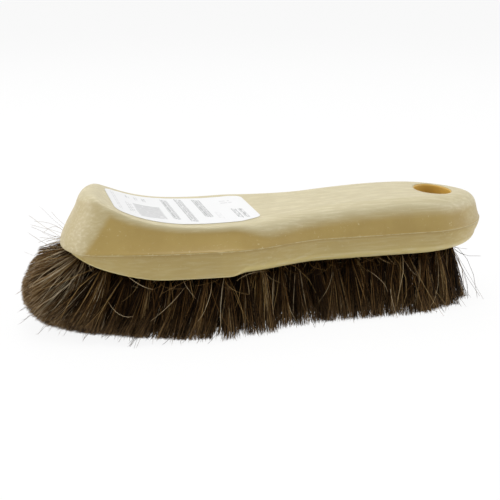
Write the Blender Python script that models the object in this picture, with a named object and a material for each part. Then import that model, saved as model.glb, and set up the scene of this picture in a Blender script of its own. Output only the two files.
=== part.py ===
"""Upholstery brush: a moulded foam-plastic block with rows of horsehair and a paper label.

Metres, +Z up. X runs along the brush, with the broad head towards -X and the handle towards +X.
Y runs across it and is its plane of symmetry. Z is 0 at the trimmed tips of the hair, on which
the brush stands, and X is 0 halfway between the foremost hair and the end of the handle.

Along the block a place is given as its distance u from the front of the head.
"""

import math

import bmesh
import bpy
import numpy as np
from mathutils import Matrix, Vector

# Block, seen from above
BLOCK_LENGTH = 0.229
HEAD_HALF_WIDTH = 0.0343
HEAD_WIDEST_AT = 0.0855
FRONT_NARROWING = 0.0108
HANDLE_HALF_WIDTH = 0.0253
NECK_LENGTH = 0.047
FRONT_ROUNDING = 0.020
FRONT_SQUARENESS = 2.3
TAIL_ROUNDING = 0.035
TAIL_SQUARENESS = 1.75

# Block, seen from the side
TRIM = 0.0313
PARTING_ABOVE_UNDERSIDE = 0.0141
SADDLE_THICKNESS = 0.0250
SADDLE_AT = 0.088
PEAK_AT = 0.0185
FRONT_RISE = 0.0332
FRONT_RISE_POWER = 3.4
HUMP_RISE = 0.0058
HUMP_STARTS_AT = 0.0725
HUMP_LENGTH = 0.1035
TAIL_DROP = 0.0037
TAIL_DROP_LENGTH = 0.051
NOSE_LIFT = 0.0150
NOSE_LIFT_LENGTH = 0.050
NOSE_LIFT_POWER = 1.7

# Edges and draft of the block
FRONT_SLANT = 0.0092
FRONT_BELLY = 1.6
TOP_FRONT_ROUNDING = 0.0155
TOP_FRONT_SQUARENESS = 2.5
HEAD_DRAFT = 0.0062
FRONT_LEAN = 0.28
HANDLE_DRAFT = 0.0018
PANEL_HOLLOW = 0.0009
PANEL_STARTS_AT = 0.018
PANEL_ENDS_AT = 0.092
PANEL_FADE = 0.012
UNDERCUT = 0.0010
TAIL_UNDERCUT = 0.0018
FRONT_SHOULDER = 0.0085
FRONT_SHOULDER_LENGTH = 0.026
HEAD_SHOULDER = 0.0013
HANDLE_SHOULDER = 0.0090
HEAD_LOWER_EDGE = 0.0015
HANDLE_LOWER_EDGE = 0.0072
LOWER_EDGE_LIMIT = 0.8
SHOULDER_CHANGES_AT = 0.094
LOWER_EDGE_CHANGES_AT = 0.087
SHOULDER_CHANGE_LENGTH = 0.016
LOWER_EDGE_CHANGE_LENGTH = 0.010

# Hang hole through the handle
HOLE_RADIUS = 0.0098
HOLE_FROM_TAIL = 0.0285
HOLE_WALL = 0.0012

# Rows of hair
ROW_PITCH = 0.010
SLICE_LENGTH = 0.0072
SLICE_THICKNESS = 0.0020
TUFT_PITCH = 0.0088
RIM = 0.0015
FRONT_RIM = 0.0038
ROW_RADIUS = 0.037
ROW_BEND_LENGTH = 0.090
TAIL_TUFT_PITCH = 0.0088
TAIL_TUFTS = 3
SEAT_GAP = 0.0003

# Strands
STRAND_INSET_SHARE = 0.50
STRAND_TAPER = 0.70
MIDDLE_TAPER = 0.88
SIDE_FLARE = 0.0025
NOSE_FLARE_LOSS = 0.0050
NOSE_FLARE_LENGTH = 0.045
TAIL_FLARE_LOSS = 0.0075
TAIL_LENGTH = 0.022
NOSE_FAN = math.radians(45)
NOSE_FAN_LENGTH = 0.018
HEAD_FAN = math.radians(30)
HEAD_FAN_FROM = 0.045
HEAD_FAN_LENGTH = 0.060
TAIL_FAN = math.radians(11)
SIDE_FAN_LOSS = 0.40
FOOT_FRONT = 0.040
NOSE_REACH = 0.066
NOSE_RISE = 0.0377
BOW = 0.10

# Paper label in the saddle
LABEL_LENGTH = 0.0729
LABEL_WIDTH = 0.0448
LABEL_STARTS_AT = 0.0257
LABEL_MARGIN = 0.0033
LABEL_THICKNESS = 0.0003
LABEL_CORNER = 0.0035

# Fineness
END_STEPS = 7
MIDDLE_STEPS = 25
EDGE_STEPS = 3
WALL_STEPS = 3
SHOULDER_STEPS = 4
HOLE_SIDES = 32
LABEL_CORNER_STEPS = 3
SETTLING_ROUNDS = 16
CUT_MARGIN = 0.010

PARTING_HEIGHT = TRIM + PARTING_ABOVE_UNDERSIDE
HOLE_AT = BLOCK_LENGTH - HOLE_FROM_TAIL
FIRST_ROW_AT = UNDERCUT + HEAD_LOWER_EDGE + FRONT_RIM + 0.5 * SLICE_LENGTH


def smooth(t):
    """Rises from 0 to 1 with level ends."""
    t = min(max(t, 0.0), 1.0)
    return t * t * (3.0 - 2.0 * t)


def side_half_width(u):
    """Half width at the parting line, before the ends are rounded."""
    if u < HEAD_WIDEST_AT:
        return HEAD_HALF_WIDTH - FRONT_NARROWING * ((HEAD_WIDEST_AT - u) / HEAD_WIDEST_AT) ** 2
    narrowing = HEAD_HALF_WIDTH - HANDLE_HALF_WIDTH
    return HEAD_HALF_WIDTH - narrowing * smooth((u - HEAD_WIDEST_AT) / NECK_LENGTH)


def end_factor(distance, length, squareness):
    """Share of the half width that is left near a rounded end."""
    missing = min(max(1.0 - distance / length, 0.0), 1.0)
    return (1.0 - missing ** squareness) ** (1.0 / squareness)


def half_width(u):
    """Half width of the block at its parting line."""
    front = end_factor(u, FRONT_ROUNDING, FRONT_SQUARENESS)
    tail = end_factor(BLOCK_LENGTH - u, TAIL_ROUNDING, TAIL_SQUARENESS)
    return side_half_width(u) * front * tail


def top_height(u):
    """Height of the upper face along the block's middle, which stays level ahead of its peak."""
    u = max(u, PEAK_AT)
    height = TRIM + SADDLE_THICKNESS
    if u < SADDLE_AT:
        height += FRONT_RISE * (1.0 - u / SADDLE_AT) ** FRONT_RISE_POWER
    height += HUMP_RISE * smooth((u - HUMP_STARTS_AT) / HUMP_LENGTH)
    drop_starts_at = BLOCK_LENGTH - TAIL_DROP_LENGTH
    if u > drop_starts_at:
        height -= TAIL_DROP * ((u - drop_starts_at) / TAIL_DROP_LENGTH) ** 2
    return height


def underside_height(u):
    """Height of the tufted face, which sweeps up towards the front."""
    if u >= NOSE_LIFT_LENGTH:
        return TRIM
    return TRIM + NOSE_LIFT * ((NOSE_LIFT_LENGTH - u) / NOSE_LIFT_LENGTH) ** NOSE_LIFT_POWER


def underside_slope(u):
    """Rise of the tufted face for each metre along the block."""
    left = max((NOSE_LIFT_LENGTH - u) / NOSE_LIFT_LENGTH, 0.0)
    return -NOSE_LIFT * NOSE_LIFT_POWER / NOSE_LIFT_LENGTH * left ** (NOSE_LIFT_POWER - 1.0)


def blend_at(u, place, length):
    """0 well before a place along the block and 1 well after it."""
    return smooth((u - place) / length + 0.5)


def shoulder_radius(u):
    """Radius between the sides and the upper face."""
    front = smooth(1.0 - u / FRONT_SHOULDER_LENGTH)
    head = HEAD_SHOULDER + (FRONT_SHOULDER - HEAD_SHOULDER) * front
    return head + (HANDLE_SHOULDER - head) * blend_at(u, SHOULDER_CHANGES_AT, SHOULDER_CHANGE_LENGTH)


def upper_draft(u):
    """How far the upper sides lean in up to the shoulder, more so where the front rises."""
    change = blend_at(u, SHOULDER_CHANGES_AT, SHOULDER_CHANGE_LENGTH)
    head = HEAD_DRAFT + FRONT_LEAN * max(top_height(u) - TRIM - SADDLE_THICKNESS, 0.0)
    return head + (HANDLE_DRAFT - head) * change


def lower_edge_radius(u):
    """Radius between the sides and the tufted face, limited by the wall that it rounds."""
    change = blend_at(u, LOWER_EDGE_CHANGES_AT, LOWER_EDGE_CHANGE_LENGTH)
    radius = HEAD_LOWER_EDGE + (HANDLE_LOWER_EDGE - HEAD_LOWER_EDGE) * change
    return min(radius, LOWER_EDGE_LIMIT * (PARTING_HEIGHT - underside_height(u)))


def face_half_width(u):
    """Half width of the flat tufted face."""
    front = end_factor(u - UNDERCUT - HEAD_LOWER_EDGE, FRONT_ROUNDING, FRONT_SQUARENESS)
    tail_end = BLOCK_LENGTH - TAIL_UNDERCUT - HANDLE_LOWER_EDGE
    tail = end_factor(tail_end - u, TAIL_ROUNDING, TAIL_SQUARENESS)
    return (side_half_width(u) - UNDERCUT - lower_edge_radius(u)) * front * tail


def x_of(u):
    """X of a place along the block, before the whole brush is centred."""
    return u - BLOCK_LENGTH / 2.0


def u_of(x):
    """Place along the block of an X."""
    return x + BLOCK_LENGTH / 2.0


def level_stations(front, rounding, squareness, tail):
    """Places along one level of the block with the share of the width there."""
    stations = []
    for i in range(END_STEPS):
        angle = 0.5 * math.pi * i / END_STEPS
        share = math.sin(angle) ** (2.0 / squareness)
        back = 1.0 - math.cos(angle) ** (2.0 / squareness)
        stations.append((front + rounding * back, share))
    start = front + rounding
    end = BLOCK_LENGTH - tail - TAIL_ROUNDING
    for i in range(MIDDLE_STEPS + 1):
        stations.append((start + (end - start) * i / MIDDLE_STEPS, 1.0))
    for i in range(END_STEPS - 1, -1, -1):
        angle = 0.5 * math.pi * i / END_STEPS
        share = math.sin(angle) ** (2.0 / TAIL_SQUARENESS)
        back = 1.0 - math.cos(angle) ** (2.0 / TAIL_SQUARENESS)
        stations.append((BLOCK_LENGTH - tail - TAIL_ROUNDING * back, share))
    return stations


def lower_level(angle):
    """Ring on the lower edge's rounding: a right angle is the tufted face and 0 the side."""
    ring = []
    turn = 1.0 - math.cos(angle)
    setback = UNDERCUT + HEAD_LOWER_EDGE * turn
    tail = TAIL_UNDERCUT + HANDLE_LOWER_EDGE * turn
    for u, share in level_stations(setback, FRONT_ROUNDING, FRONT_SQUARENESS, tail):
        radius = lower_edge_radius(u)
        inset = UNDERCUT + radius * turn
        height = underside_height(u) + radius * (1.0 - math.sin(angle))
        ring.append((u, (side_half_width(u) - inset) * share, height))
    return ring


def panel_hollow(u):
    """How deep the head's side panels are hollowed halfway up."""
    starts = smooth((u - PANEL_STARTS_AT) / PANEL_FADE)
    return PANEL_HOLLOW * starts * smooth((PANEL_ENDS_AT - u) / PANEL_FADE)


def wall_level(rise):
    """Ring on the upper wall: a rise of 0 is the parting line and 1 the foot of the shoulder.

    The front bellies out as it leans back, and the head's side panels are hollow.
    """
    ring = []
    setback = FRONT_SLANT * rise ** FRONT_BELLY
    rounding = FRONT_ROUNDING + (TOP_FRONT_ROUNDING - FRONT_ROUNDING) * rise
    squareness = FRONT_SQUARENESS + (TOP_FRONT_SQUARENESS - FRONT_SQUARENESS) * rise
    for u, share in level_stations(setback, rounding, squareness, HANDLE_DRAFT * rise):
        inset = upper_draft(u) * rise + panel_hollow(u) * 4.0 * rise * (1.0 - rise)
        foot = top_height(u) - shoulder_radius(u)
        height = PARTING_HEIGHT + (foot - PARTING_HEIGHT) * rise
        ring.append((u, (side_half_width(u) - inset) * share, height))
    return ring


def upper_level(angle):
    """Ring on the shoulder's rounding: 0 is the side and a right angle the upper face."""
    ring = []
    turn = 1.0 - math.cos(angle)
    setback = FRONT_SLANT + FRONT_SHOULDER * turn
    tail = HANDLE_DRAFT + HANDLE_SHOULDER * turn
    for u, share in level_stations(setback, TOP_FRONT_ROUNDING, TOP_FRONT_SQUARENESS, tail):
        radius = shoulder_radius(u)
        inset = upper_draft(u) + radius * turn
        height = top_height(u) - radius * (1.0 - math.sin(angle))
        ring.append((u, (side_half_width(u) - inset) * share, height))
    return ring


def block_levels():
    """All rings of the block, from the tufted face up to the upper face."""
    levels = []
    for i in range(EDGE_STEPS, -1, -1):
        levels.append(lower_level(0.5 * math.pi * i / EDGE_STEPS))
    for i in range(WALL_STEPS):
        levels.append(wall_level(i / WALL_STEPS))
    for i in range(SHOULDER_STEPS + 1):
        levels.append(upper_level(0.5 * math.pi * i / SHOULDER_STEPS))
    return levels


def make_material(name, colour, roughness):
    """Plain non-metal finish."""
    material = bpy.data.materials.new(name)
    material.use_nodes = True
    shader = material.node_tree.nodes["Principled BSDF"]
    shader.inputs["Base Color"].default_value = (*colour, 1.0)
    shader.inputs["Roughness"].default_value = roughness
    shader.inputs["Metallic"].default_value = 0.0
    return material


def add_object(name, form, material, parent):
    """Puts a finished form into the scene under the brush's centre."""
    mesh = bpy.data.meshes.new(name)
    bmesh.ops.recalc_face_normals(form, faces=form.faces)
    form.to_mesh(mesh)
    form.free()
    made = bpy.data.objects.new(name, mesh)
    if material:
        mesh.materials.append(material)
    bpy.context.scene.collection.objects.link(made)
    made.parent = parent
    return made


def add_cutter(name, form, parent):
    """A guide that only cuts its neighbour."""
    cutter = add_object(name, form, None, parent)
    cutter.hide_render = True
    cutter.display_type = "WIRE"
    return cutter


def cut(target, cutter):
    """Takes a cutter's shape out of a piece."""
    modifier = target.modifiers.new(cutter.name, "BOOLEAN")
    modifier.operation = "DIFFERENCE"
    modifier.solver = "EXACT"
    modifier.object = cutter


def make_block_form():
    """The block without its holes: rings joined by walls, and both faces closed rung by rung."""
    form = bmesh.new()
    rings = []
    for level in block_levels():
        right = [form.verts.new((x_of(u), -y, z)) for u, y, z in level]
        inner = level[1:-1]
        left = [right[0]] + [form.verts.new((x_of(u), y, z)) for u, y, z in inner] + [right[-1]]
        rings.append((right, left))
    count = len(rings[0][0])
    for below, above in zip(rings, rings[1:]):
        for side in (0, 1):
            for i in range(count - 1):
                corners = (below[side][i], below[side][i + 1], above[side][i + 1], above[side][i])
                form.faces.new(corners)
    for right, left in (rings[0], rings[-1]):
        for i in range(count - 1):
            corners = [right[i], right[i + 1]]
            if left[i + 1] is not right[i + 1]:
                corners.append(left[i + 1])
            if left[i] is not right[i]:
                corners.append(left[i])
            form.faces.new(corners)
    return form


def make_hole_form():
    """Upright cylinder of the hang hole."""
    form = bmesh.new()
    height = top_height(HOLE_AT) + CUT_MARGIN
    bmesh.ops.create_cone(
        form,
        cap_ends=True,
        segments=HOLE_SIDES,
        radius1=HOLE_RADIUS,
        radius2=HOLE_RADIUS,
        depth=height,
        matrix=Matrix.Translation((x_of(HOLE_AT), 0.0, TRIM + 0.5 * (height - CUT_MARGIN))),
    )
    return form


class Strip:
    """A run of tufts side by side on one slice of the block.

    The centre line's ends and joints are points in the slice's own plane, and the slice reaches
    half its width to both sides of them.
    """

    def __init__(self, joints, half_across, place):
        self.joints = [Vector(joint) for joint in joints]
        self.half_across = half_across
        self.place = place

    def edge_points(self, extra):
        """Both long edges of the slice, grown on every side by a clearance."""
        joints = [joint.copy() for joint in self.joints]
        joints[0] += (joints[0] - joints[1]).normalized() * extra
        joints[-1] += (joints[-1] - joints[-2]).normalized() * extra
        one, other = [], []
        for i, joint in enumerate(joints):
            before = joints[max(i - 1, 0)]
            after = joints[min(i + 1, len(joints) - 1)]
            along = (after - before).normalized()
            across = Vector((-along.y, along.x, 0.0)) * (self.half_across + extra)
            one.append(joint + across)
            other.append(joint - across)
        return one, other

    def plate(self, extra, low, high):
        """Closed plate over the strip, between two levels of the slice's own height."""
        form = bmesh.new()
        one, other = self.edge_points(extra)
        layers = []
        for level in (low, high):
            lift = Vector((0.0, 0.0, level))
            raised = [[self.place @ (point + lift) for point in edge] for edge in (one, other)]
            layers.append([[form.verts.new(point) for point in edge] for edge in raised])
        (low_one, low_other), (high_one, high_other) = layers
        lower_faces = []
        for i in range(len(one) - 1):
            lower_faces.append(form.faces.new((low_one[i], low_one[i + 1], low_other[i + 1], low_other[i])))
            form.faces.new((high_one[i], high_one[i + 1], high_other[i + 1], high_other[i]))
            form.faces.new((low_one[i], low_one[i + 1], high_one[i + 1], high_one[i]))
            form.faces.new((low_other[i], low_other[i + 1], high_other[i + 1], high_other[i]))
        for i in (0, len(one) - 1):
            form.faces.new((low_one[i], low_other[i], high_other[i], high_one[i]))
        return form, lower_faces

    def seat_form(self):
        """The seat that the block has for this slice."""
        form, _ = self.plate(SEAT_GAP, -CUT_MARGIN, SLICE_THICKNESS + SEAT_GAP)
        return form


def near_tail(u):
    """0 along the block and rising towards 1 at the handle's end."""
    return math.exp(-((BLOCK_LENGTH - u) / TAIL_LENGTH) ** 2)


def fan_angle(u, y):
    """Angle at which the hair leans from upright: forwards over the head, a little back at the tail."""
    nose = NOSE_FAN * math.exp(-u / NOSE_FAN_LENGTH)
    head = HEAD_FAN * (1.0 - smooth((u - HEAD_FAN_FROM) / HEAD_FAN_LENGTH))
    sideways = 1.0 - SIDE_FAN_LOSS * (y / side_half_width(u)) ** 2
    return (nose + head) * sideways - TAIL_FAN * near_tail(u)


def side_lean(u):
    """How far the outermost hair of a row leans out sideways."""
    nose = NOSE_FLARE_LOSS * (1.0 - smooth(u / NOSE_FLARE_LENGTH))
    inset = UNDERCUT + lower_edge_radius(u) + RIM
    return inset + SIDE_FLARE - nose - TAIL_FLARE_LOSS * near_tail(u)


def tip_of(u, y, height):
    """Place of a strand's tip for its root.

    The hair spreads evenly out towards the sides and is trimmed level with the ground. Ahead of
    the foot line it is trimmed to the front quarter of an ellipse that stands on the ground.
    """
    outermost = side_half_width(u) - UNDERCUT - lower_edge_radius(u) - RIM
    tip_y = y * (1.0 + side_lean(u) / outermost)
    angle = fan_angle(u, y)
    tip_u = u - height * math.tan(angle)
    if tip_u >= FOOT_FRONT:
        return tip_u, tip_y, 0.0
    root = Vector(((u - FOOT_FRONT) / NOSE_REACH, (height - NOSE_RISE) / NOSE_RISE))
    lean = Vector((-math.sin(angle) / NOSE_REACH, -math.cos(angle) / NOSE_RISE))
    along = root.dot(lean)
    spread = max(along ** 2 - lean.length_squared * (root.length_squared - 1.0), 0.0)
    length = (math.sqrt(spread) - along) / lean.length_squared
    return u - length * math.sin(angle), tip_y, height - length * math.cos(angle)


def grow_strands(form, cells):
    """Raises four strands from each tuft's cell: one from each triangle around its middle."""
    poked = bmesh.ops.poke(form, faces=cells)
    for root in poked["faces"]:
        inner_radius = 2.0 * root.calc_area() / root.calc_perimeter()
        bmesh.ops.inset_individual(form, faces=[root], thickness=STRAND_INSET_SHARE * inner_radius)
        centre = root.calc_center_median()
        offsets = [corner.co - centre for corner in root.verts]
        tip_u, tip_y, tip_z = tip_of(u_of(centre.x), centre.y, centre.z)
        tip = Vector((x_of(tip_u), tip_y, tip_z))
        face = root
        for along, taper in ((0.5, MIDDLE_TAPER), (1.0, STRAND_TAPER)):
            face = bmesh.ops.extrude_discrete_faces(form, faces=[face])["faces"][0]
            middle = centre.lerp(tip, along)
            middle.x += BOW * (centre.x - tip.x) * math.sin(math.pi * along)
            middle.y += BOW * (tip.y - centre.y) * math.sin(math.pi * along)
            for corner, offset in zip(face.verts, offsets):
                corner.co = middle + offset * taper
                if along == 1.0 and tip_z == 0.0:
                    corner.co.z = 0.0


def row_place(u):
    """Turns a slice's own plane on to the tufted face at u."""
    tilt = Matrix.Rotation(-math.atan(underside_slope(u)), 4, "Y")
    return Matrix.Translation((x_of(u), 0.0, underside_height(u))) @ tilt


def row_curve(u):
    """How strongly a row bends back towards its ends: distance back over distance out squared."""
    return 0.5 / ROW_RADIUS * max(1.0 - u / ROW_BEND_LENGTH, 0.0) ** 2


def half_run_of(u):
    """Half length of the row at u, whose end corners keep the rim to the block's lower edge."""
    half_run = half_width(u)
    for _ in range(SETTLING_ROUNDS):
        end = u + row_curve(u) * half_run ** 2
        front_corner = face_half_width(end - 0.5 * SLICE_LENGTH)
        back_corner = face_half_width(end + 0.5 * SLICE_LENGTH)
        half_run = min(front_corner, back_corner) - RIM
    return half_run


def cross_row(u):
    """A row that runs right across the block, divided evenly into tufts."""
    half_run = half_run_of(u)
    tufts = max(round(2.0 * half_run / TUFT_PITCH), 1)
    joints = []
    for i in range(tufts + 1):
        y = half_run * (2.0 * i / tufts - 1.0)
        joints.append((row_curve(u) * y ** 2, y, 0.0))
    return Strip(joints, 0.5 * SLICE_LENGTH, row_place(u))


def tail_strip(start, side):
    """A run of tufts between the hang hole and the handle's edge, which follows the edge."""
    half_across = 0.5 * (face_half_width(HOLE_AT) - RIM - HOLE_RADIUS - HOLE_WALL)
    joints = []
    for i in range(TAIL_TUFTS + 1):
        u = start + TAIL_TUFT_PITCH * i
        joints.append((x_of(u), side * (face_half_width(u) - RIM - half_across), 0.0))
    return Strip(joints, half_across, Matrix.Translation((0.0, 0.0, TRIM)))


def row_places():
    """Places of the rows that run right across, up to the hang hole's wall."""
    last = HOLE_AT - HOLE_RADIUS - HOLE_WALL - 0.5 * SLICE_LENGTH
    count = int((last - FIRST_ROW_AT) / ROW_PITCH) + 1
    return [FIRST_ROW_AT + ROW_PITCH * i for i in range(count)]


def label_outline(stations, face_u, face_half):
    """Half width of the label at each of its places.

    Its corners are rounded, and it keeps a margin to the upper face's edge where that is narrow.
    """
    widths = []
    for u in stations:
        from_end = min(u - stations[0], stations[-1] - u)
        missing = max(LABEL_CORNER - from_end, 0.0)
        rounding = LABEL_CORNER - math.sqrt(max(LABEL_CORNER ** 2 - missing ** 2, 0.0))
        room = float(np.interp(u, face_u, face_half)) - LABEL_MARGIN
        widths.append(min(0.5 * LABEL_WIDTH, room) - rounding)
    return widths


def make_label_form():
    """Paper that follows the facets of the saddle, laid on with the seat gap under it."""
    ring = upper_level(0.5 * math.pi)
    block_u, block_half, block_z = zip(*ring)
    ends = (LABEL_STARTS_AT, LABEL_STARTS_AT + LABEL_LENGTH)
    stations = [u for u in block_u if ends[0] + LABEL_CORNER < u < ends[1] - LABEL_CORNER]
    for i in range(LABEL_CORNER_STEPS + 1):
        back = LABEL_CORNER * (1.0 - math.cos(0.5 * math.pi * i / LABEL_CORNER_STEPS))
        stations += [ends[0] + back, ends[1] - back]
    stations.sort()
    form = bmesh.new()
    edges = []
    for u, half in zip(stations, label_outline(stations, block_u, block_half)):
        height = float(np.interp(u, block_u, block_z)) + SEAT_GAP
        edges.append([form.verts.new((x_of(u), side * half, height)) for side in (-1, 1)])
    for before, after in zip(edges, edges[1:]):
        form.faces.new((before[0], after[0], after[1], before[1]))
    return form


def clear_scene():
    """Empties the scene."""
    for item in list(bpy.data.objects):
        bpy.data.objects.remove(item, do_unlink=True)


def build():
    """Makes the block, its seats, the rows of hair and the label."""
    clear_scene()
    centre = bpy.data.objects.new("brush_centre", None)
    bpy.context.scene.collection.objects.link(centre)
    plastic = make_material("tan_foam_plastic", (0.52, 0.42, 0.22), 0.45)
    block = add_object("handle_block", make_block_form(), plastic, centre)
    block.data.shade_smooth()
    block.data.set_sharp_from_angle(angle=math.radians(40))

    places = row_places()
    strips = [("bristle_row_%02d" % (i + 1), cross_row(u)) for i, u in enumerate(places)]
    tail_start = places[-1] + ROW_PITCH - 0.5 * SLICE_LENGTH
    strips.append(("tail_bristles_right", tail_strip(tail_start, -1)))
    strips.append(("tail_bristles_left", tail_strip(tail_start, 1)))

    foremost = x_of(0.0)
    for name, strip in strips:
        seat = add_cutter(name + "_seat", strip.seat_form(), centre)
        cut(block, seat)
        hair = make_material(name + "_hair", (0.045, 0.026, 0.014), 0.5)
        form, cells = strip.plate(0.0, 0.0, SLICE_THICKNESS)
        grow_strands(form, cells)
        foremost = min(foremost, min(corner.co.x for corner in form.verts))
        add_object(name, form, hair, centre)
    cut(block, add_cutter("hang_hole_cut", make_hole_form(), centre))

    paper = make_material("label_paper", (0.85, 0.85, 0.84), 0.55)
    label = add_object("paper_label", make_label_form(), paper, centre)
    wall = label.modifiers.new("paper", "SOLIDIFY")
    wall.thickness = LABEL_THICKNESS
    wall.offset = 1.0

    centre.location.x = -0.5 * (foremost + x_of(BLOCK_LENGTH))


build()
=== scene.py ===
"""Looks of an upholstery brush: a moulded foam-plastic block, a printed paper label and horsehair.

Metres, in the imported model's frame: +Z up, X along the brush with the broad head towards -X, Z 0 at
the trimmed tips of the hair. Along the block a place is given as its distance u from the front.
"""

import logging
import math
from collections.abc import Callable
from dataclasses import dataclass, field
from enum import Enum

import bmesh
import bpy
import numpy as np
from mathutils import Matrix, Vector


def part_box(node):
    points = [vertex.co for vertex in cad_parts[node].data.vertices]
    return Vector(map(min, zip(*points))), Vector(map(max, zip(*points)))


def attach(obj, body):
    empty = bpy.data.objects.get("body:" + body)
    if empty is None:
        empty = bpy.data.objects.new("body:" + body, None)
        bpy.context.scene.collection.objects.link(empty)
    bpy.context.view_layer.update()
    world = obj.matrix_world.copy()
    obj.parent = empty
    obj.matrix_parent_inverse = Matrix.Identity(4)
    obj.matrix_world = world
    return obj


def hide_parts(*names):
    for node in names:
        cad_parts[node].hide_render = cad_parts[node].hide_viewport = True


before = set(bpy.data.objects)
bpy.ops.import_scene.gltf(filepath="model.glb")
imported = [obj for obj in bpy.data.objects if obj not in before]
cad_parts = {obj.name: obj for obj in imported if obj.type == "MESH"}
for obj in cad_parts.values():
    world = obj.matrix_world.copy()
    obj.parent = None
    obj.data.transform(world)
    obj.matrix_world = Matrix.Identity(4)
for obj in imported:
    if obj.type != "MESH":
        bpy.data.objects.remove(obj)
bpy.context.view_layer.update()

logging.basicConfig(level=logging.INFO, format="%(message)s")
log = logging.getLogger("brush")

Array = np.ndarray
Colour = tuple[float, float, float]
Place = tuple[float, float, float]
Range = tuple[float, float]
Socket = bpy.types.NodeSocket
Paint = Socket | Colour

BODY = "root"
WELD = 1e-7
SHORTEST = 1e-12
WHITE = (1.0, 1.0, 1.0, 1.0)
# Squareness at which end_curve gives a quarter circle.
CIRCLE = 2.0
# Least and most of the turns in a hair's wave, and of the share of a turn at which it starts.
WAVE_TURNS = ((0.6, 0.0), (1.8, 1.0))


class Slot(Enum):
    """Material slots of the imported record."""

    PLASTIC = "foam_plastic"
    HAIR = "horsehair"
    PAPER = "label_paper"


class Side(Enum):
    """The two sides of the brush, by the sign of Y."""

    RIGHT = -1
    LEFT = 1


def smooth(t: Array | float) -> Array:
    """Rises from 0 to 1 with level ends: three t squared less two t cubed.

    Args:
        t: Where to read the curve; below 0 and above 1 it stays level.

    Returns:
        Heights of the curve.
    """
    t = np.clip(t, 0.0, 1.0)
    return t * t * (3.0 - 2.0 * t)


def bell(x: Array, centre: float, width: float) -> Array:
    """Bell curve of height 1: e to the minus square of the distance over the width."""
    return np.exp(-(((x - centre) / width) ** 2))


def unit(vectors: Array) -> Array:
    """Vectors of length 1 in the same directions."""
    return vectors / np.maximum(np.linalg.norm(vectors, axis=-1, keepdims=True), SHORTEST)


def stacked(*parts: Array | float) -> Array:
    """Arrays side by side along a new last axis, such as places along, across and up."""
    return np.stack(np.broadcast_arrays(*parts), axis=-1)


def toward(start: Array | float, end: Array | float, share: Array | float) -> Array | float:
    """Goes evenly from one value to another as the share goes from 0 to 1."""
    return start + (end - start) * share


def end_curve(steps: int, squareness: float) -> tuple[Array, Array]:
    """Superelliptic end, from its pole.

    With the angle a from the pole and the squareness n, the way back from the pole is 1 less cos a
    to the power 2/n, and the share of the half width is sin a to the power 2/n.

    Args:
        steps: Number of points, the last one short of the full width.
        squareness: The n, which is 2 for an ellipse.

    Returns:
        Ways back, as shares of the rounding's length, and shares of the half width.
    """
    angle = 0.5 * np.pi * np.arange(steps) / steps
    return 1.0 - np.cos(angle) ** (2.0 / squareness), np.sin(angle) ** (2.0 / squareness)


def grid_faces(rows: int, columns: int, start: int = 0) -> Array:
    """Quads of a grid of points.

    Args:
        rows: Number of rows of points.
        columns: Number of points in a row.
        start: Index of the grid's first point.

    Returns:
        Four point indices for each quad.
    """
    index = start + np.arange(rows * columns).reshape(rows, columns)
    quads = (index[:-1, :-1], index[1:, :-1], index[1:, 1:], index[:-1, 1:])
    return np.stack(quads, axis=-1).reshape(-1, 4)


def make_mesh(name: str, points: Array, corners: Array, sides: Array) -> bpy.types.Mesh:
    """Mesh from flat arrays.

    Args:
        name: Name of the mesh.
        points: Places of the points, one row each.
        corners: Point indices of all faces, face after face.
        sides: Number of corners of each face.

    Returns:
        A smooth-shaded mesh.
    """
    mesh = bpy.data.meshes.new(name)
    mesh.vertices.add(len(points))
    mesh.vertices.foreach_set("co", points.astype(np.float32).ravel())
    mesh.loops.add(len(corners))
    mesh.loops.foreach_set("vertex_index", corners.astype(np.int32))
    mesh.polygons.add(len(sides))
    starts = np.concatenate([[0], np.cumsum(sides)[:-1]])
    mesh.polygons.foreach_set("loop_start", starts.astype(np.int32))
    mesh.polygons.foreach_set("use_smooth", np.ones(len(sides), bool))
    mesh.update(calc_edges=True)
    return mesh


def add_values(mesh: bpy.types.Mesh, name: str, values: Array) -> None:
    """Stores one number for each point of a mesh, for its finish to read."""
    stored = mesh.attributes.new(name, "FLOAT", "POINT")
    stored.data.foreach_set("value", values.astype(np.float32).ravel())


def add_piece(mesh: bpy.types.Mesh, finish: "Finish", node: str = "") -> bpy.types.Object:
    """Puts a finished piece on the brush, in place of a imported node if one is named.

    Args:
        mesh: Its mesh, already in place, whose name the piece takes.
        finish: What its surface is like.
        node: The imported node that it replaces, or nothing.

    Returns:
        The new object.
    """
    piece = bpy.data.objects.new(mesh.name, mesh)
    bpy.context.scene.collection.objects.link(piece)
    mesh.materials.append(finish.material())
    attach(piece, BODY)
    if node:
        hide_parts(node)
    log.info("%s: %d points, %d faces", piece.name, len(mesh.vertices), len(mesh.polygons))
    return piece


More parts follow.
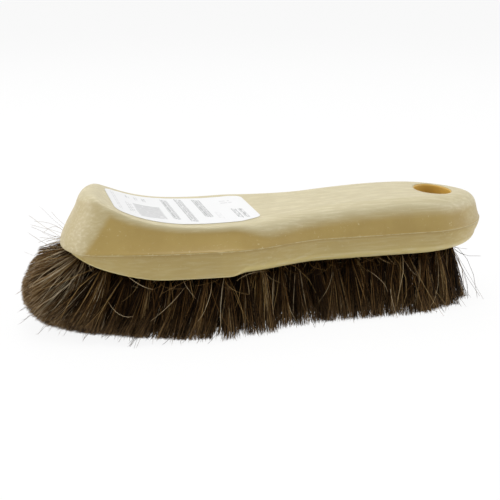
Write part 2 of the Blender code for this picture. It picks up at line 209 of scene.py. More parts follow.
@dataclass
class Patchwork:
    """Patches of one surface that meet edge to edge and are welded into a closed mesh."""

    points: list[Array] = field(default_factory=list)
    values: list[Array] = field(default_factory=list)
    faces: list[Array] = field(default_factory=list)
    count: int = 0

    def add(self, grid: Array, value: Array) -> None:
        """Adds a patch.

        Args:
            grid: Rows of points.
            value: A value for each row.
        """
        rows, columns = grid.shape[:2]
        self.points.append(grid.reshape(-1, 3))
        self.values.append(np.repeat(value, columns))
        self.faces.append(grid_faces(rows, columns, self.count))
        self.count += rows * columns

    def add_mirrored(self, grid: Array, value: Array) -> None:
        """Adds a patch and its mirror image across the plane Y = 0."""
        self.add(grid, value)
        self.add(grid * np.array([1.0, -1.0, 1.0]), value)

    def mesh(self, name: str, value_name: str) -> bpy.types.Mesh:
        """Welds the patches and turns all faces outwards.

        Args:
            name: Name of the mesh.
            value_name: Name of the points' value.

        Returns:
            The welded mesh.
        """
        faces = np.concatenate(self.faces)
        sides = np.full(len(faces), 4)
        mesh = make_mesh(name, np.concatenate(self.points), faces.ravel(), sides)
        add_values(mesh, value_name, np.concatenate(self.values))
        form = bmesh.new()
        form.from_mesh(mesh)
        bmesh.ops.remove_doubles(form, verts=form.verts, dist=WELD)
        bmesh.ops.dissolve_degenerate(form, edges=form.edges, dist=WELD)
        bmesh.ops.recalc_face_normals(form, faces=form.faces)
        form.to_mesh(mesh)
        form.free()
        return mesh


@dataclass(frozen=True)
class Grain:
    """A noise pattern: how fine it is, its levels of detail, and its stretch along the axes."""

    scale: float
    detail: float = 3.0
    roughness: float = 0.5
    stretch: Place = (1.0, 1.0, 1.0)


@dataclass(frozen=True)
class Fade:
    """A smooth change from a start to an end while a number goes from low to high."""

    low: float
    high: float
    start: float = 0.0
    end: float = 1.0


@dataclass(frozen=True)
class Relief:
    """How deep a surface's relief is, in metres, and how strongly it shows."""

    depth: float
    strength: float


class Recipe:
    """A material's nodes, written as short calls."""

    def __init__(self, name: str) -> None:
        """Starts a material with one plain shader.

        Args:
            name: Name of the material.
        """
        self.made = bpy.data.materials.new(name)
        self.made.use_nodes = True
        self.tree = self.made.node_tree
        self.shader = self.tree.nodes["Principled BSDF"]

    def feed(self, socket: Socket, value: object) -> None:
        """Gives an input a link or a constant.

        Args:
            socket: The input.
            value: Another node's output, or a number, vector or colour.
        """
        if isinstance(value, bpy.types.NodeSocket):
            self.tree.links.new(value, socket)
        elif socket.type == "RGBA":
            socket.default_value = (*value, 1.0)
        else:
            socket.default_value = value

    def node(self, kind: str, inputs: dict | None = None, **settings: object) -> bpy.types.Node:
        """Adds a node.

        Args:
            kind: Blender's name of the node's type.
            inputs: Links or constants for its inputs, by name or number.
            **settings: Values of the node's own options.

        Returns:
            The new node.
        """
        made = self.tree.nodes.new(kind)
        for key, value in settings.items():
            setattr(made, key, value)
        for key, value in (inputs or {}).items():
            self.feed(made.inputs[key], value)
        return made

    def place(self, stretch: Place = (1.0, 1.0, 1.0)) -> Socket:
        """Object coordinates.

        Args:
            stretch: How much they are stretched along the axes.

        Returns:
            The place of each point of the surface.
        """
        source = self.node("ShaderNodeTexCoord").outputs["Object"]
        mapping = self.node("ShaderNodeMapping", {"Vector": source, "Scale": stretch})
        return mapping.outputs["Vector"]

    def noise(self, grain: Grain) -> Socket:
        """Soft noise about one half.

        Args:
            grain: Its pattern.

        Returns:
            The noise.
        """
        inputs = {"Vector": self.place(grain.stretch), "Scale": grain.scale}
        inputs |= {"Detail": grain.detail, "Roughness": grain.roughness}
        return self.node("ShaderNodeTexNoise", inputs).outputs["Fac"]

    def value(self, name: str) -> Socket:
        """A number stored on the piece's points."""
        return self.node("ShaderNodeAttribute", attribute_name=name).outputs["Fac"]

    def math(self, operation: str, a: Socket | float, b: Socket | float = 0.0) -> Socket:
        """Arithmetic on two numbers."""
        return self.node("ShaderNodeMath", {0: a, 1: b}, operation=operation).outputs[0]

    def faded(self, value: Socket, fade: Fade) -> Socket:
        """Fades with a number.

        Args:
            value: The number.
            fade: Where and between what it changes.

        Returns:
            The faded number.
        """
        inputs = {"Value": value, "From Min": fade.low, "From Max": fade.high}
        inputs |= {"To Min": fade.start, "To Max": fade.end}
        made = self.node("ShaderNodeMapRange", inputs, interpolation_type="SMOOTHSTEP")
        return made.outputs["Result"]

    def ramp(self, value: Socket, stops: tuple[tuple[float, Colour], ...]) -> Socket:
        """Colours along a number.

        Args:
            value: The number.
            stops: Its marks and the colour at each.

        Returns:
            The colour.
        """
        made = self.node("ShaderNodeValToRGB", {"Fac": value})
        elements = made.color_ramp.elements
        while len(elements) < len(stops):
            elements.new(0.5)
        for element, (place, colour) in zip(elements, stops):
            element.position = place
            element.color = (*colour, 1.0)
        return made.outputs["Color"]

    def mix(self, share: Socket | float, a: Paint, b: Paint, blend: str = "MIX") -> Socket:
        """Mixes two colours.

        Args:
            share: How much of the second one there is.
            a: The first colour.
            b: The second colour.
            blend: Blender's name of the way to mix.

        Returns:
            The mixed colour.
        """
        made = self.node("ShaderNodeMix", data_type="RGBA", blend_type=blend)
        # Inputs 6 and 7 and output 2 are the node's colours, and input 0 is the share.
        for key, value in ((0, share), (6, a), (7, b)):
            self.feed(made.inputs[key], value)
        return made.outputs[2]

    def bump(self, height: Socket, relief: Relief, over: Socket | None = None) -> Socket:
        """Surface relief from a height.

        Args:
            height: The height.
            relief: Its depth and strength.
            over: An earlier relief that it lies on.

        Returns:
            The direction in which the surface faces.
        """
        inputs = {"Height": height, "Distance": relief.depth, "Strength": relief.strength}
        if over:
            inputs["Normal"] = over
        return self.node("ShaderNodeBump", inputs).outputs["Normal"]

    def shade(self, **inputs: object) -> bpy.types.Material:
        """Feeds the shader, with underscores for the spaces in its inputs' names.

        Args:
            **inputs: Links or constants.

        Returns:
            The finished material.
        """
        for key, value in inputs.items():
            self.feed(self.shader.inputs[key.replace("_", " ")], value)
        return self.made


class Finish:
    """A surface finish, whose material is made once and shared by its pieces."""

    def material(self) -> bpy.types.Material:
        """The material, from Blender's store if it is there already."""
        name = type(self).__name__
        return bpy.data.materials.get(name) or self.mixed(Recipe(name))

    def mixed(self, recipe: Recipe) -> bpy.types.Material:
        """Writes the finish's nodes."""
        raise NotImplementedError


@dataclass(frozen=True)
class FoamPlastic(Finish):
    """Tan structural foam with streaks, specks and painted light, paler above, below and at the ends.

    The points' value is how much light is painted: 1 full, 0 none, and -1 paints a glow through a wall.
    """

    parting_height: float
    base: Colour = (0.378, 0.267, 0.077)
    deep: Colour = (0.343, 0.237, 0.064)
    # Colours of painted light: sheen above the parting line, bounce light below it, a glow in the hole.
    skin: Colour = (0.500, 0.435, 0.262)
    lower_painted_light: Colour = (0.620, 0.505, 0.205)
    glow: Colour = (0.640, 0.400, 0.080)
    streak: Colour = (0.660, 0.600, 0.400)
    # Colour of the specks, and of the painted highlight along the parting line.
    speck_and_highlight: Colour = (0.560, 0.480, 0.270)
    mottle: Grain = Grain(60.0, 4.0, 0.55)
    cloud: Grain = Grain(230.0, 3.0, 0.6)
    streaks: Grain = Grain(1.0, 4.0, 0.6, (75.0, 760.0, 760.0))
    specks: Grain = Grain(620.0, 2.0, 0.7)
    pores: Grain = Grain(1500.0, 2.0, 0.6)
    mottle_fade: Fade = Fade(0.32, 0.66)
    glow_fade: Fade = Fade(-1.0, 0.0, 1.0, 0.0)
    streak_fade: Fade = Fade(0.42, 0.72, 0.0, 0.60)
    speck_fade: Fade = Fade(0.60, 0.74)
    speck_cloud: Fade = Fade(0.45, 0.65, 0.10, 0.60)
    # Painted highlight along the parting line's flash, broken up by the cloud noise.
    parting_highlight_cloud: Fade = Fade(0.40, 0.60, 0.3, 1.0)
    parting_highlight_half: float = 0.00026
    parting_highlight_core: float = 0.25
    parting_highlight_strength: float = 0.85
    skin_change: float = 0.002
    streak_relief: Relief = Relief(0.00006, 0.25)
    pore_relief: Relief = Relief(0.00005, 0.25)
    mottle_relief: Relief = Relief(0.0010, 0.08)
    roughness: Fade = Fade(0.3, 0.7, 0.38, 0.46)

    def mixed(self, recipe: Recipe) -> bpy.types.Material:
        """Mottle varies the colour; streaks, specks, painted light and a painted parting highlight are
        paler.

        Args:
            recipe: The empty material.

        Returns:
            The material.
        """
        mottle, cloud, streaks = (recipe.noise(grain) for grain in (self.mottle, self.cloud, self.streaks))
        colour = recipe.mix(recipe.faded(mottle, self.mottle_fade), self.deep, self.base)
        height = recipe.node("ShaderNodeSeparateXYZ", {0: recipe.place()}).outputs["Z"]
        above = recipe.math("SUBTRACT", height, self.parting_height)
        # Painted light: sheen above the parting line, bounce light below it, and a glow in the hang hole.
        skin = recipe.value("skin")
        upper = recipe.faded(above, Fade(-self.skin_change, 0.0))
        colour = recipe.mix(skin, colour, recipe.mix(upper, self.lower_painted_light, self.skin))
        # Painted glow on the hang hole's wall, where the value is below 0.
        colour = recipe.mix(recipe.faded(skin, self.glow_fade), colour, self.glow)
        # The pale streaks show only where light is painted.
        streaked = recipe.math("MULTIPLY", recipe.faded(streaks, self.streak_fade), skin)
        colour = recipe.mix(streaked, colour, self.streak)
        specks = recipe.faded(recipe.noise(self.specks), self.speck_fade)
        speckled = recipe.math("MULTIPLY", specks, recipe.faded(cloud, self.speck_cloud))
        colour = recipe.mix(speckled, colour, self.speck_and_highlight)
        # Painted highlight along the parting line, in the specks' colour.
        core = self.parting_highlight_core * self.parting_highlight_half
        line = Fade(core, self.parting_highlight_half, self.parting_highlight_strength, 0.0)
        line = recipe.faded(recipe.math("ABSOLUTE", above), line)
        broken = recipe.math("MULTIPLY", line, recipe.faded(cloud, self.parting_highlight_cloud))
        colour = recipe.mix(broken, colour, self.speck_and_highlight)
        relief = recipe.bump(streaks, self.streak_relief)
        relief = recipe.bump(recipe.noise(self.pores), self.pore_relief, relief)
        relief = recipe.bump(mottle, self.mottle_relief, relief)
        roughness = recipe.faded(cloud, self.roughness)
        return recipe.shade(Base_Color=colour, Roughness=roughness, Normal=relief)


@dataclass(frozen=True)
class LabelPaper(Finish):
    """Coated white paper, whose grey print is stored on its points."""

    paper: Colour = (0.76, 0.76, 0.76)
    fibre: Colour = (0.67, 0.67, 0.68)
    ink: Colour = (0.060, 0.065, 0.065)
    fibres: Grain = Grain(1100.0, 3.0, 0.6, (1.0, 1.6, 1.0))
    waves: Grain = Grain(90.0, 2.0)
    fibre_fade: Fade = Fade(0.3, 0.7, 0.0, 0.10)
    wear: Fade = Fade(0.35, 0.62, 0.80, 1.0)
    fibre_relief: Relief = Relief(0.00003, 0.25)
    wave_relief: Relief = Relief(0.0004, 0.2)
    roughness: Fade = Fade(0.0, 0.6, 0.48, 0.36)

    def mixed(self, recipe: Recipe) -> bpy.types.Material:
        """The ink's strength mixes grey into white, broken by the paper's fibres.

        Args:
            recipe: The empty material.

        Returns:
            The material.
        """
        fibres = recipe.noise(self.fibres)
        paper = recipe.mix(recipe.faded(fibres, self.fibre_fade), self.paper, self.fibre)
        strength = recipe.math("MULTIPLY", recipe.value("ink"), recipe.faded(fibres, self.wear))
        colour = recipe.mix(strength, paper, self.ink)
        relief = recipe.bump(fibres, self.fibre_relief)
        relief = recipe.bump(recipe.noise(self.waves), self.wave_relief, relief)
        roughness = recipe.faded(strength, self.roughness)
        return recipe.shade(Base_Color=colour, Roughness=roughness, Normal=relief)


@dataclass(frozen=True)
class Horsehair(Finish):
    """Brown horsehair with a tone for each hair, painted shade at the roots and painted light on fair tips.
    """

    tones: tuple[tuple[float, Colour], ...] = (
        (0.00, (0.0045, 0.0021, 0.0008)),
        (0.32, (0.0150, 0.0068, 0.0019)),
        (0.57, (0.0500, 0.0240, 0.0068)),
        (0.77, (0.2000, 0.1060, 0.0340)),
        (0.90, (0.4000, 0.2700, 0.1100)),
        (1.00, (0.7300, 0.6200, 0.4300)),
    )
    # Colour of the painted light on fair tips.
    tip: Colour = (0.240, 0.150, 0.068)
    shadow: Colour = (0.45, 0.36, 0.26)
    bands: Grain = Grain(700.0, 2.0)
    band_fade: Fade = Fade(0.3, 0.7, 0.0, 0.35)
    root_shade_fade: Fade = Fade(0.0, 0.55, 0.8, 0.0)
    painted_tip_light_fade: Fade = Fade(0.55, 1.0, 0.0, 0.65)
    fair_fade: Fade = Fade(0.1, 0.7)
    roughness: float = 0.48
    gloss: float = 0.06

    def mixed(self, recipe: Recipe) -> bpy.types.Material:
        """Tone picks a colour, and the place along the hair paints shade at the root and light on fair tips.

        Args:
            recipe: The empty material.

        Returns:
            The material.
        """
        along, tone = recipe.value("along"), recipe.value("tone")
        colour = recipe.ramp(tone, self.tones)
        # Painted shade at the roots; the noise bands darken patches of hair with the same colour.
        for value, fade in ((recipe.noise(self.bands), self.band_fade), (along, self.root_shade_fade)):
            colour = recipe.mix(recipe.faded(value, fade), colour, self.shadow, "MULTIPLY")
        # Painted light on the tips of fair hairs.
        near_tip = recipe.faded(along, self.painted_tip_light_fade)
        painted_lightening = recipe.math("MULTIPLY", near_tip, recipe.faded(tone, self.fair_fade))
        colour = recipe.mix(painted_lightening, colour, self.tip)
        return recipe.shade(Base_Color=colour, Roughness=self.roughness, Specular_IOR_Level=self.gloss)


@dataclass(frozen=True)
class BlockForm:
    """Sizes of the block, with the curves that its surfaces follow.

    Places along the block and sizes are in metres, and heights are counted from the trimmed tips.
    """

    length: float = 0.229
    head_half_width: float = 0.0343
    head_widest_at: float = 0.0855
    front_narrowing: float = 0.0108
    handle_half_width: float = 0.0253
    neck_length: float = 0.047
    front_rounding: float = 0.020
    front_squareness: float = 2.3
    tail_rounding: float = 0.035
    tail_squareness: float = 1.75
    trim: float = 0.0313
    parting_height: float = 0.0454
    saddle_thickness: float = 0.0250
    saddle_at: float = 0.088
    peak_at: float = 0.0185
    peak_softness: float = 0.0012
    front_rise: float = 0.0332
    front_rise_power: float = 3.4
    hump_rise: float = 0.0058
    hump_starts_at: float = 0.0725
    hump_length: float = 0.1035
    tail_drop: float = 0.0037
    tail_drop_length: float = 0.051
    nose_lift: float = 0.0150
    nose_lift_length: float = 0.050
    nose_lift_power: float = 1.7
    front_slant: float = 0.0113
    front_belly: float = 1.35
    top_front_rounding: float = 0.0155
    top_front_squareness: float = 2.5
    head_draft: float = 0.0062
    front_lean: float = 0.28
    handle_draft: float = 0.0018
    panel_hollow: float = 0.0009
    panel_starts_at: float = 0.018
    panel_ends_at: float = 0.092
    panel_fade: float = 0.012
    undercut: float = 0.0010
    tail_undercut: float = 0.0018
    front_shoulder: float = 0.0064
    front_shoulder_length: float = 0.026
    head_shoulder: float = 0.0013
    handle_shoulder: float = 0.0090
    head_lower_edge: float = 0.0015
    handle_lower_edge: float = 0.0072
    lower_edge_limit: float = 0.8
    shoulder_changes_at: float = 0.094
    lower_edge_changes_at: float = 0.087
    shoulder_change_length: float = 0.022
    lower_edge_change_length: float = 0.010
    hole_radius: float = 0.0098
    hole_from_tail: float = 0.0285
    tuft_rim: float = 0.0015

    @property
    def front_x(self) -> float:
        """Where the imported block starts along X."""
        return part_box("handle_block")[0].x

    @property
    def hole_at(self) -> float:
        """Place of the hang hole along the block."""
        return self.length - self.hole_from_tail

    def placed(self, points: Array) -> Array:
        """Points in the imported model's frame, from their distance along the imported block."""
        return points + np.array([self.front_x, 0.0, 0.0])

    def side_half_width(self, u: Array) -> Array:
        """Half width at the parting line before the ends are rounded.

        The head narrows towards the front by the square of the distance from its widest place,
        and the neck falls smoothly to the handle's half width.

        Args:
            u: Places along the block.

        Returns:
            Half widths.
        """
        ahead = np.maximum(self.head_widest_at - u, 0.0) / self.head_widest_at
        narrowing = self.head_half_width - self.handle_half_width
        neck = narrowing * smooth((u - self.head_widest_at) / self.neck_length)
        return self.head_half_width - self.front_narrowing * ahead**2 - neck

    def end_factor(self, distance: Array, length: float, squareness: float) -> Array:
        """Share of the half width left at a distance from a superelliptic end."""
        missing = np.clip(1.0 - distance / length, 0.0, 1.0)
        return (1.0 - missing**squareness) ** (1.0 / squareness)

    def face_half_width(self, u: Array) -> Array:
        """Half width of the flat tufted face.

        Args:
            u: Places along the block.

        Returns:
            Half widths.
        """
        front = u - self.undercut - self.head_lower_edge
        tail = self.length - self.tail_undercut - self.handle_lower_edge - u
        share = self.end_factor(front, self.front_rounding, self.front_squareness)
        share = share * self.end_factor(tail, self.tail_rounding, self.tail_squareness)
        return (self.side_half_width(u) - self.undercut - self.lower_edge_radius(u)) * share

    def top_half_width(self, u: Array) -> Array:
        """Half width of the upper face, away from the tail.

        Args:
            u: Places along the block.

        Returns:
            Half widths.
        """
        front = u - self.front_slant - self.front_shoulder
        share = self.end_factor(front, self.top_front_rounding, self.top_front_squareness)
        return (self.side_half_width(u) - self.upper_draft(u) - self.shoulder_radius(u)) * share

    def top_height(self, u: Array) -> Array:
        """Height of the upper face: saddle, peak at the front, hump and drop of the handle.

        The rise to the front is a power of the distance from the saddle's lowest place, the hump
        a smooth step, and the drop the square of the distance into the tail. Ahead of the peak
        the face turns softly level.

        Args:
            u: Places along the block.

        Returns:
            Heights.
        """
        past_peak = np.logaddexp(0.0, (u - self.peak_at) / self.peak_softness)
        u = self.peak_at + self.peak_softness * past_peak
        front = self.front_rise * np.clip(1.0 - u / self.saddle_at, 0.0, 1.0) ** self.front_rise_power
        hump = self.hump_rise * smooth((u - self.hump_starts_at) / self.hump_length)
        into_tail = np.maximum(u - self.length + self.tail_drop_length, 0.0) / self.tail_drop_length
        return self.trim + self.saddle_thickness + front + hump - self.tail_drop * into_tail**2

    def underside_height(self, u: Array) -> Array:
        """Height of the tufted face, which sweeps up to the front by a power of the distance."""
        left = np.maximum(self.nose_lift_length - u, 0.0) / self.nose_lift_length
        return self.trim + self.nose_lift * left**self.nose_lift_power

    def blend_at(self, u: Array, place: float, length: float) -> Array:
        """0 well before a place along the block and 1 well after it."""
        return smooth((u - place) / length + 0.5)

    def shoulder_radius(self, u: Array) -> Array:
        """Radius between the sides and the upper face.

        Args:
            u: Places along the block.

        Returns:
            Radii.
        """
        front = smooth(1.0 - u / self.front_shoulder_length)
        head = toward(self.head_shoulder, self.front_shoulder, front)
        change = self.blend_at(u, self.shoulder_changes_at, self.shoulder_change_length)
        return toward(head, self.handle_shoulder, change)

    def upper_draft(self, u: Array) -> Array:
        """How far the upper sides lean in up to the shoulder, more so where the front rises.

        Args:
            u: Places along the block.

        Returns:
            Distances.
        """
        change = self.blend_at(u, self.shoulder_changes_at, self.shoulder_change_length)
        raised = np.maximum(self.top_height(u) - self.trim - self.saddle_thickness, 0.0)
        return toward(self.head_draft + self.front_lean * raised, self.handle_draft, change)

    def hollow(self, u: Array) -> Array:
        """How deep the head's side panels are hollowed halfway up."""
        starts = smooth((u - self.panel_starts_at) / self.panel_fade)
        return self.panel_hollow * starts * smooth((self.panel_ends_at - u) / self.panel_fade)

    def lower_edge_radius(self, u: Array) -> Array:
        """Radius between the sides and the tufted face, limited by the wall that it rounds.

        Args:
            u: Places along the block.

        Returns:
            Radii.
        """
        change = self.blend_at(u, self.lower_edge_changes_at, self.lower_edge_change_length)
        radius = toward(self.head_lower_edge, self.handle_lower_edge, change)
        return np.minimum(radius, self.lower_edge_limit * (self.parting_height - self.underside_height(u)))


@dataclass
class HandleBlock:
    """The moulded block with its parting line, gate mark and hang hole."""

    form: BlockForm
    front_steps: int = 48
    middle_steps: int = 130
    tail_steps: int = 56
    edge_steps: int = 9
    wall_steps: int = 6
    upper_wall_steps: int = 12
    bend_steps: int = 12
    shoulder_steps: int = 10
    bend_from: float = 0.75
    bend_until: float = math.radians(48)
    bend_probe: float = 0.01
    cap_steps: int = 22
    rim_steps: int = 5
    hole_wall_steps: int = 10
    rim: float = 0.0011
    ridge: float = 0.00003
    ridge_half: float = 0.00035
    ridge_profile: tuple[tuple[float, float], ...] = ((-0.4, 0.6), (0.0, 1.0), (0.4, 0.6), (1.0, 0.0))
    gate_at: float = 0.0770
    gate_length: float = 0.0014
    gate_height: float = 0.00035
    # Painted light: sheen on the ends, the shoulder and the upper face, bounce light on the lower wall.
    end_painted_light: float = 0.60
    wall_painted_light: float = 0.36
    parting_painted_light: float = 0.20
    lower_painted_light_rise: Range = (0.1, 2.5)
    upper_painted_light_rise: Range = (-0.1, 1.4)
    tail_painted_light_share: float = 0.6
    tail_facing_from: float = 0.35
    tail_facing_change: float = 0.25
    glow_from_rim: float = 1.0 / 3.0
    # Raked line on the head's walls ahead of which light is painted on the front face.
    crease_at: float = 0.0120
    crease_rake: float = 0.78
    crease_width: float = 0.0045
    hole_marks: tuple[float, float, float] = (-2.2, -0.95, 1.45)
    stations_kept: int = 4

    def stations(self, front: float, rounding: float, squareness: float, tail: float) -> tuple[Array, Array]:
        """Places along one level of the block and the share of the half width there.

        Args:
            front: Setback of the front pole.
            rounding: Length of the front rounding.
            squareness: The front's n, as end_curve has it.
            tail: Setback of the tail pole.

        Returns:
            Places along the block and shares, from pole to pole.
        """
        front_back, front_share = end_curve(self.front_steps, squareness)
        tail_back, tail_share = end_curve(self.tail_steps, self.form.tail_squareness)
        end, tail_rounding = self.form.length - tail, self.form.tail_rounding
        middle = np.linspace(front + rounding, end - tail_rounding, self.middle_steps + 1)
        places = [front + rounding * front_back, middle, end - tail_rounding * tail_back[::-1]]
        shares = [front_share, np.ones(self.middle_steps + 1), tail_share[::-1]]
        return np.concatenate(places), np.concatenate(shares)

    def lower_ring(self, angle: float) -> Array:
        """Half ring on the rounding under the sides.

        Args:
            angle: Way round it: 0 is the wall's foot and a right angle the tufted face.

        Returns:
            Places, half widths and heights.
        """
        form = self.form
        turn = 1.0 - math.cos(angle)
        front = form.undercut + form.head_lower_edge * turn
        tail = form.tail_undercut + form.handle_lower_edge * turn
        u, share = self.stations(front, form.front_rounding, form.front_squareness, tail)
        radius = form.lower_edge_radius(u)
        y = (form.side_half_width(u) - form.undercut - radius * turn) * share
        return stacked(u, y, form.underside_height(u) + radius * (1.0 - math.sin(angle)))

    def parting_ring(self, rise: float, proud: float) -> Array:
        """Half ring at a height above the parting line, pushed out by a little, also at the gate.

        Args:
            rise: Height above the parting line.
            proud: How far the ring stands out from the walls.

        Returns:
            Places, half widths and heights.
        """
        form = self.form
        u, share = self.stations(0.0, form.front_rounding, form.front_squareness, 0.0)
        y = form.side_half_width(u) * share
        run = unit(stacked(np.gradient(u), np.gradient(y)))
        out = proud + (self.gate_height * bell(u, self.gate_at, self.gate_length) if proud else 0.0)
        width = y + run[:, 0] * out * (share > 0.0)
        return stacked(u - run[:, 1] * out, width, form.parting_height + rise)

    def wall_ring(self, rise: float) -> Array:
        """Half ring on the upper wall.

        The front's setback is a power of the rise, and the side panels are hollowed by a parabola.

        Args:
            rise: Way up the wall: 0 is the parting line and 1 the shoulder's foot.

        Returns:
            Places, half widths and heights.
        """
        form = self.form
        setback = form.front_slant * rise**form.front_belly
        rounding = toward(form.front_rounding, form.top_front_rounding, rise)
        squareness = toward(form.front_squareness, form.top_front_squareness, rise)
        u, share = self.stations(setback, rounding, squareness, form.handle_draft * rise)
        inset = form.upper_draft(u) * rise + form.hollow(u) * 4.0 * rise * (1.0 - rise)
        height = toward(form.parting_height, form.top_height(u) - form.shoulder_radius(u), rise)
        return stacked(u, (form.side_half_width(u) - inset) * share, height)

    def upper_ring(self, angle: float) -> Array:
        """Half ring on the shoulder's rounding.

        Args:
            angle: Way round it: 0 is the shoulder's foot and a right angle the upper face.

        Returns:
            Places, half widths and heights.
        """
        form = self.form
        turn = 1.0 - math.cos(angle)
        front = form.front_slant + form.front_shoulder * turn
        tail = form.handle_draft + form.handle_shoulder * turn
        u, share = self.stations(front, form.top_front_rounding, form.top_front_squareness, tail)
        radius = form.shoulder_radius(u)
        y = (form.side_half_width(u) - form.upper_draft(u) - radius * turn) * share
        return stacked(u, y, form.top_height(u) - radius * (1.0 - math.sin(angle)))

    def bend(self) -> list[Array]:
        """Half rings from the upper wall on to the shoulder, with no crease between them.

        Each station follows a cubic that starts along the wall and ends along the shoulder, with
        both slopes as long as the way between.

        Returns:
            The rings.
        """
        start, end = self.wall_ring(self.bend_from), self.upper_ring(self.bend_until)
        length = np.linalg.norm(end - start, axis=-1, keepdims=True)
        leaving = unit(start - self.wall_ring(self.bend_from - self.bend_probe)) * length
        arriving = unit(self.upper_ring(self.bend_until + self.bend_probe) - end) * length
        rings = []
        for i in range(self.bend_steps):
            t = i / self.bend_steps
            slopes = leaving * (t * (1.0 - t) ** 2) - arriving * (t**2 * (1.0 - t))
            rings.append(toward(start, end, smooth(t)) + slopes)
        return rings

    def rings(self) -> tuple[Array, Array]:
        """All half rings, from the tufted face up to the upper face.

        Returns:
            The rings, and how much painted light each one has.
        """
        quarter = 0.5 * math.pi
        turns = 1.0 - np.arange(self.edge_steps) / self.edge_steps
        rings = [self.lower_ring(quarter * turn) for turn in turns]
        side, below = self.lower_ring(0.0), self.parting_ring(-self.ridge_half, 0.0)
        for i in range(self.wall_steps + 1):
            rise = i / self.wall_steps
            out = math.sin(quarter * rise)
            rings.append(toward(side, below, np.array([out, out, rise])))
        for level, proud in self.ridge_profile:
            rings.append(self.parting_ring(level * self.ridge_half, proud * self.ridge))
        steps = self.upper_wall_steps
        rings += [self.wall_ring(self.bend_from * i / steps) for i in range(1, steps)]
        bend = self.bend()
        angles = np.linspace(self.bend_until, quarter, self.shoulder_steps + 1)
        # Painted light per ring: bounce light below the parting line, sheen rising over the shoulder.
        plain = np.zeros(len(rings) - len(turns))
        plain[: self.wall_steps] = np.linspace(self.wall_painted_light, self.parting_painted_light, self.wall_steps)
        rings += bend + [self.upper_ring(angle) for angle in angles]
        rising = np.linspace(*self.upper_painted_light_rise, len(bend) + self.shoulder_steps // 2)
        full = np.ones(len(rings) - len(turns) - len(plain) - len(rising))
        lower = np.maximum(smooth(toward(*self.lower_painted_light_rise, turns)), self.wall_painted_light)
        skin = np.concatenate([lower, plain, smooth(rising), full])
        return np.stack(rings), skin

    def hole_stations(self, ring: Array) -> tuple[int, int, int]:
        """Stations at which a face's inner line leaves the middle, meets the hole and leaves it.

        They lie nearest to the hole's marks, which are counted from its middle in radii that take
        in the rim, and enough stations are kept behind the last one to reach the tail.

        Args:
            ring: The upper face's half ring.

        Returns:
            Indices of the start of the change, the hole's front and the hole's tail.
        """
        reach = self.form.hole_radius + self.rim
        wanted = self.form.hole_at + reach * np.array(self.hole_marks)
        start, front, tail = np.abs(ring[:, :1] - wanted).argmin(axis=0)
        return int(start), int(front), min(int(tail), len(ring) - self.stations_kept)

    def inner_line(self, ring: Array, marks: tuple[int, int, int]) -> Array:
        """Line down a face's middle that goes round half of the hang hole.

        Args:
            ring: The face's half ring.
            marks: What hole_stations gives.

        Returns:
            Places and half widths, one for each station of the ring.
        """
        start, front, tail = marks
        hole_at, reach = self.form.hole_at, self.form.hole_radius + self.rim
        line = stacked(ring[:, 0], 0.0)
        line[start : front + 1, 0] = np.linspace(ring[start, 0], hole_at - reach, front - start + 1)
        angle = np.pi * (1.0 - np.linspace(0.0, 1.0, tail - front + 1))
        line[front : tail + 1, 0] = hole_at + reach * np.cos(angle)
        line[front : tail + 1, 1] = reach * np.sin(angle)
        line[tail:, 0] = np.linspace(hole_at + reach, ring[-1, 0], len(ring) - tail)
        line[[front, tail], 1] = 0.0
        return line

    def cap(self, ring: Array, line: Array, height: Callable[[Array], Array]) -> Array:
        """Half of a face, as straight rungs from the ring to the inner line.

        Args:
            ring: The face's half ring.
            line: What inner_line gives.
            height: The face's height.

        Returns:
            Rows of points, from the ring inwards.
        """
        flat = toward(ring[:, :2], line, np.linspace(0.0, 1.0, self.cap_steps + 1)[:, None, None])
        return np.concatenate([flat, height(flat[..., :1])], axis=-1)

    def hole_rim(self, circle: Array, height: Callable[[Array], Array], way: int) -> Array:
        """Quarter round from a face into the hang hole.

        Args:
            circle: Points of a half circle of radius 1.
            height: The face's height.
            way: 1 for down into the hole and -1 for up.

        Returns:
            Rows of points, from the face inwards.
        """
        angle = 0.5 * np.pi * np.arange(self.rim_steps + 1)[:, None] / self.rim_steps
        radius = self.form.hole_radius + self.rim * (1.0 - np.sin(angle))
        u = self.form.hole_at + circle[:, 0] * radius
        into = way * self.rim * (1.0 - np.cos(angle))
        return stacked(u, circle[:, 1] * radius, height(u) - into)

    def hole_side(self, line: Array, marks: tuple[int, int, int]) -> Array:
        """Half of the hang hole: both rims, with a straight wall between them.

        Args:
            line: The upper face's inner line.
            marks: What hole_stations gives.

        Returns:
            Rows of points, from the upper face down.
        """
        circle = line[marks[1] : marks[2] + 1] - np.array([self.form.hole_at, 0.0])
        circle = circle / (self.form.hole_radius + self.rim)
        upper = self.hole_rim(circle, self.form.top_height, 1)
        lower = self.hole_rim(circle, self.form.underside_height, -1)[::-1]
        t = np.linspace(0.0, 1.0, self.hole_wall_steps + 1)[1:-1, None, None]
        return np.concatenate([upper, toward(upper[-1], lower[0], t), lower])

    def spread_painted_light(self, mesh: bpy.types.Mesh) -> None:
        """Lays part of the painted light on the two ends too, as light falling on the front and the tail.

        It reaches back to a raked line on the head's walls, and covers the tail by how far the
        surface faces along X.

        Args:
            mesh: The block's mesh.
        """
        form, count = self.form, len(mesh.vertices)
        normals, points = np.zeros(3 * count, np.float32), np.zeros(3 * count, np.float32)
        skin = np.zeros(count, np.float32)
        stored = mesh.attributes["skin"].data
        mesh.vertices.foreach_get("normal", normals)
        mesh.vertices.foreach_get("co", points)
        stored.foreach_get("value", skin)
        u = points[::3] - form.front_x
        crease = self.crease_at + self.crease_rake * (points[2::3] - form.parting_height)
        front = smooth((crease - u) / self.crease_width + 0.5)
        tail = smooth((normals[::3] - self.tail_facing_from) / self.tail_facing_change)
        # Painted light on the lit front face, and on tail faces by how far they face along X.
        ends = self.end_painted_light * np.maximum(front, self.tail_painted_light_share * tail)
        skin = np.where(skin < 0.0, skin, np.maximum(skin, ends))
        stored.foreach_set("value", skin.astype(np.float32))

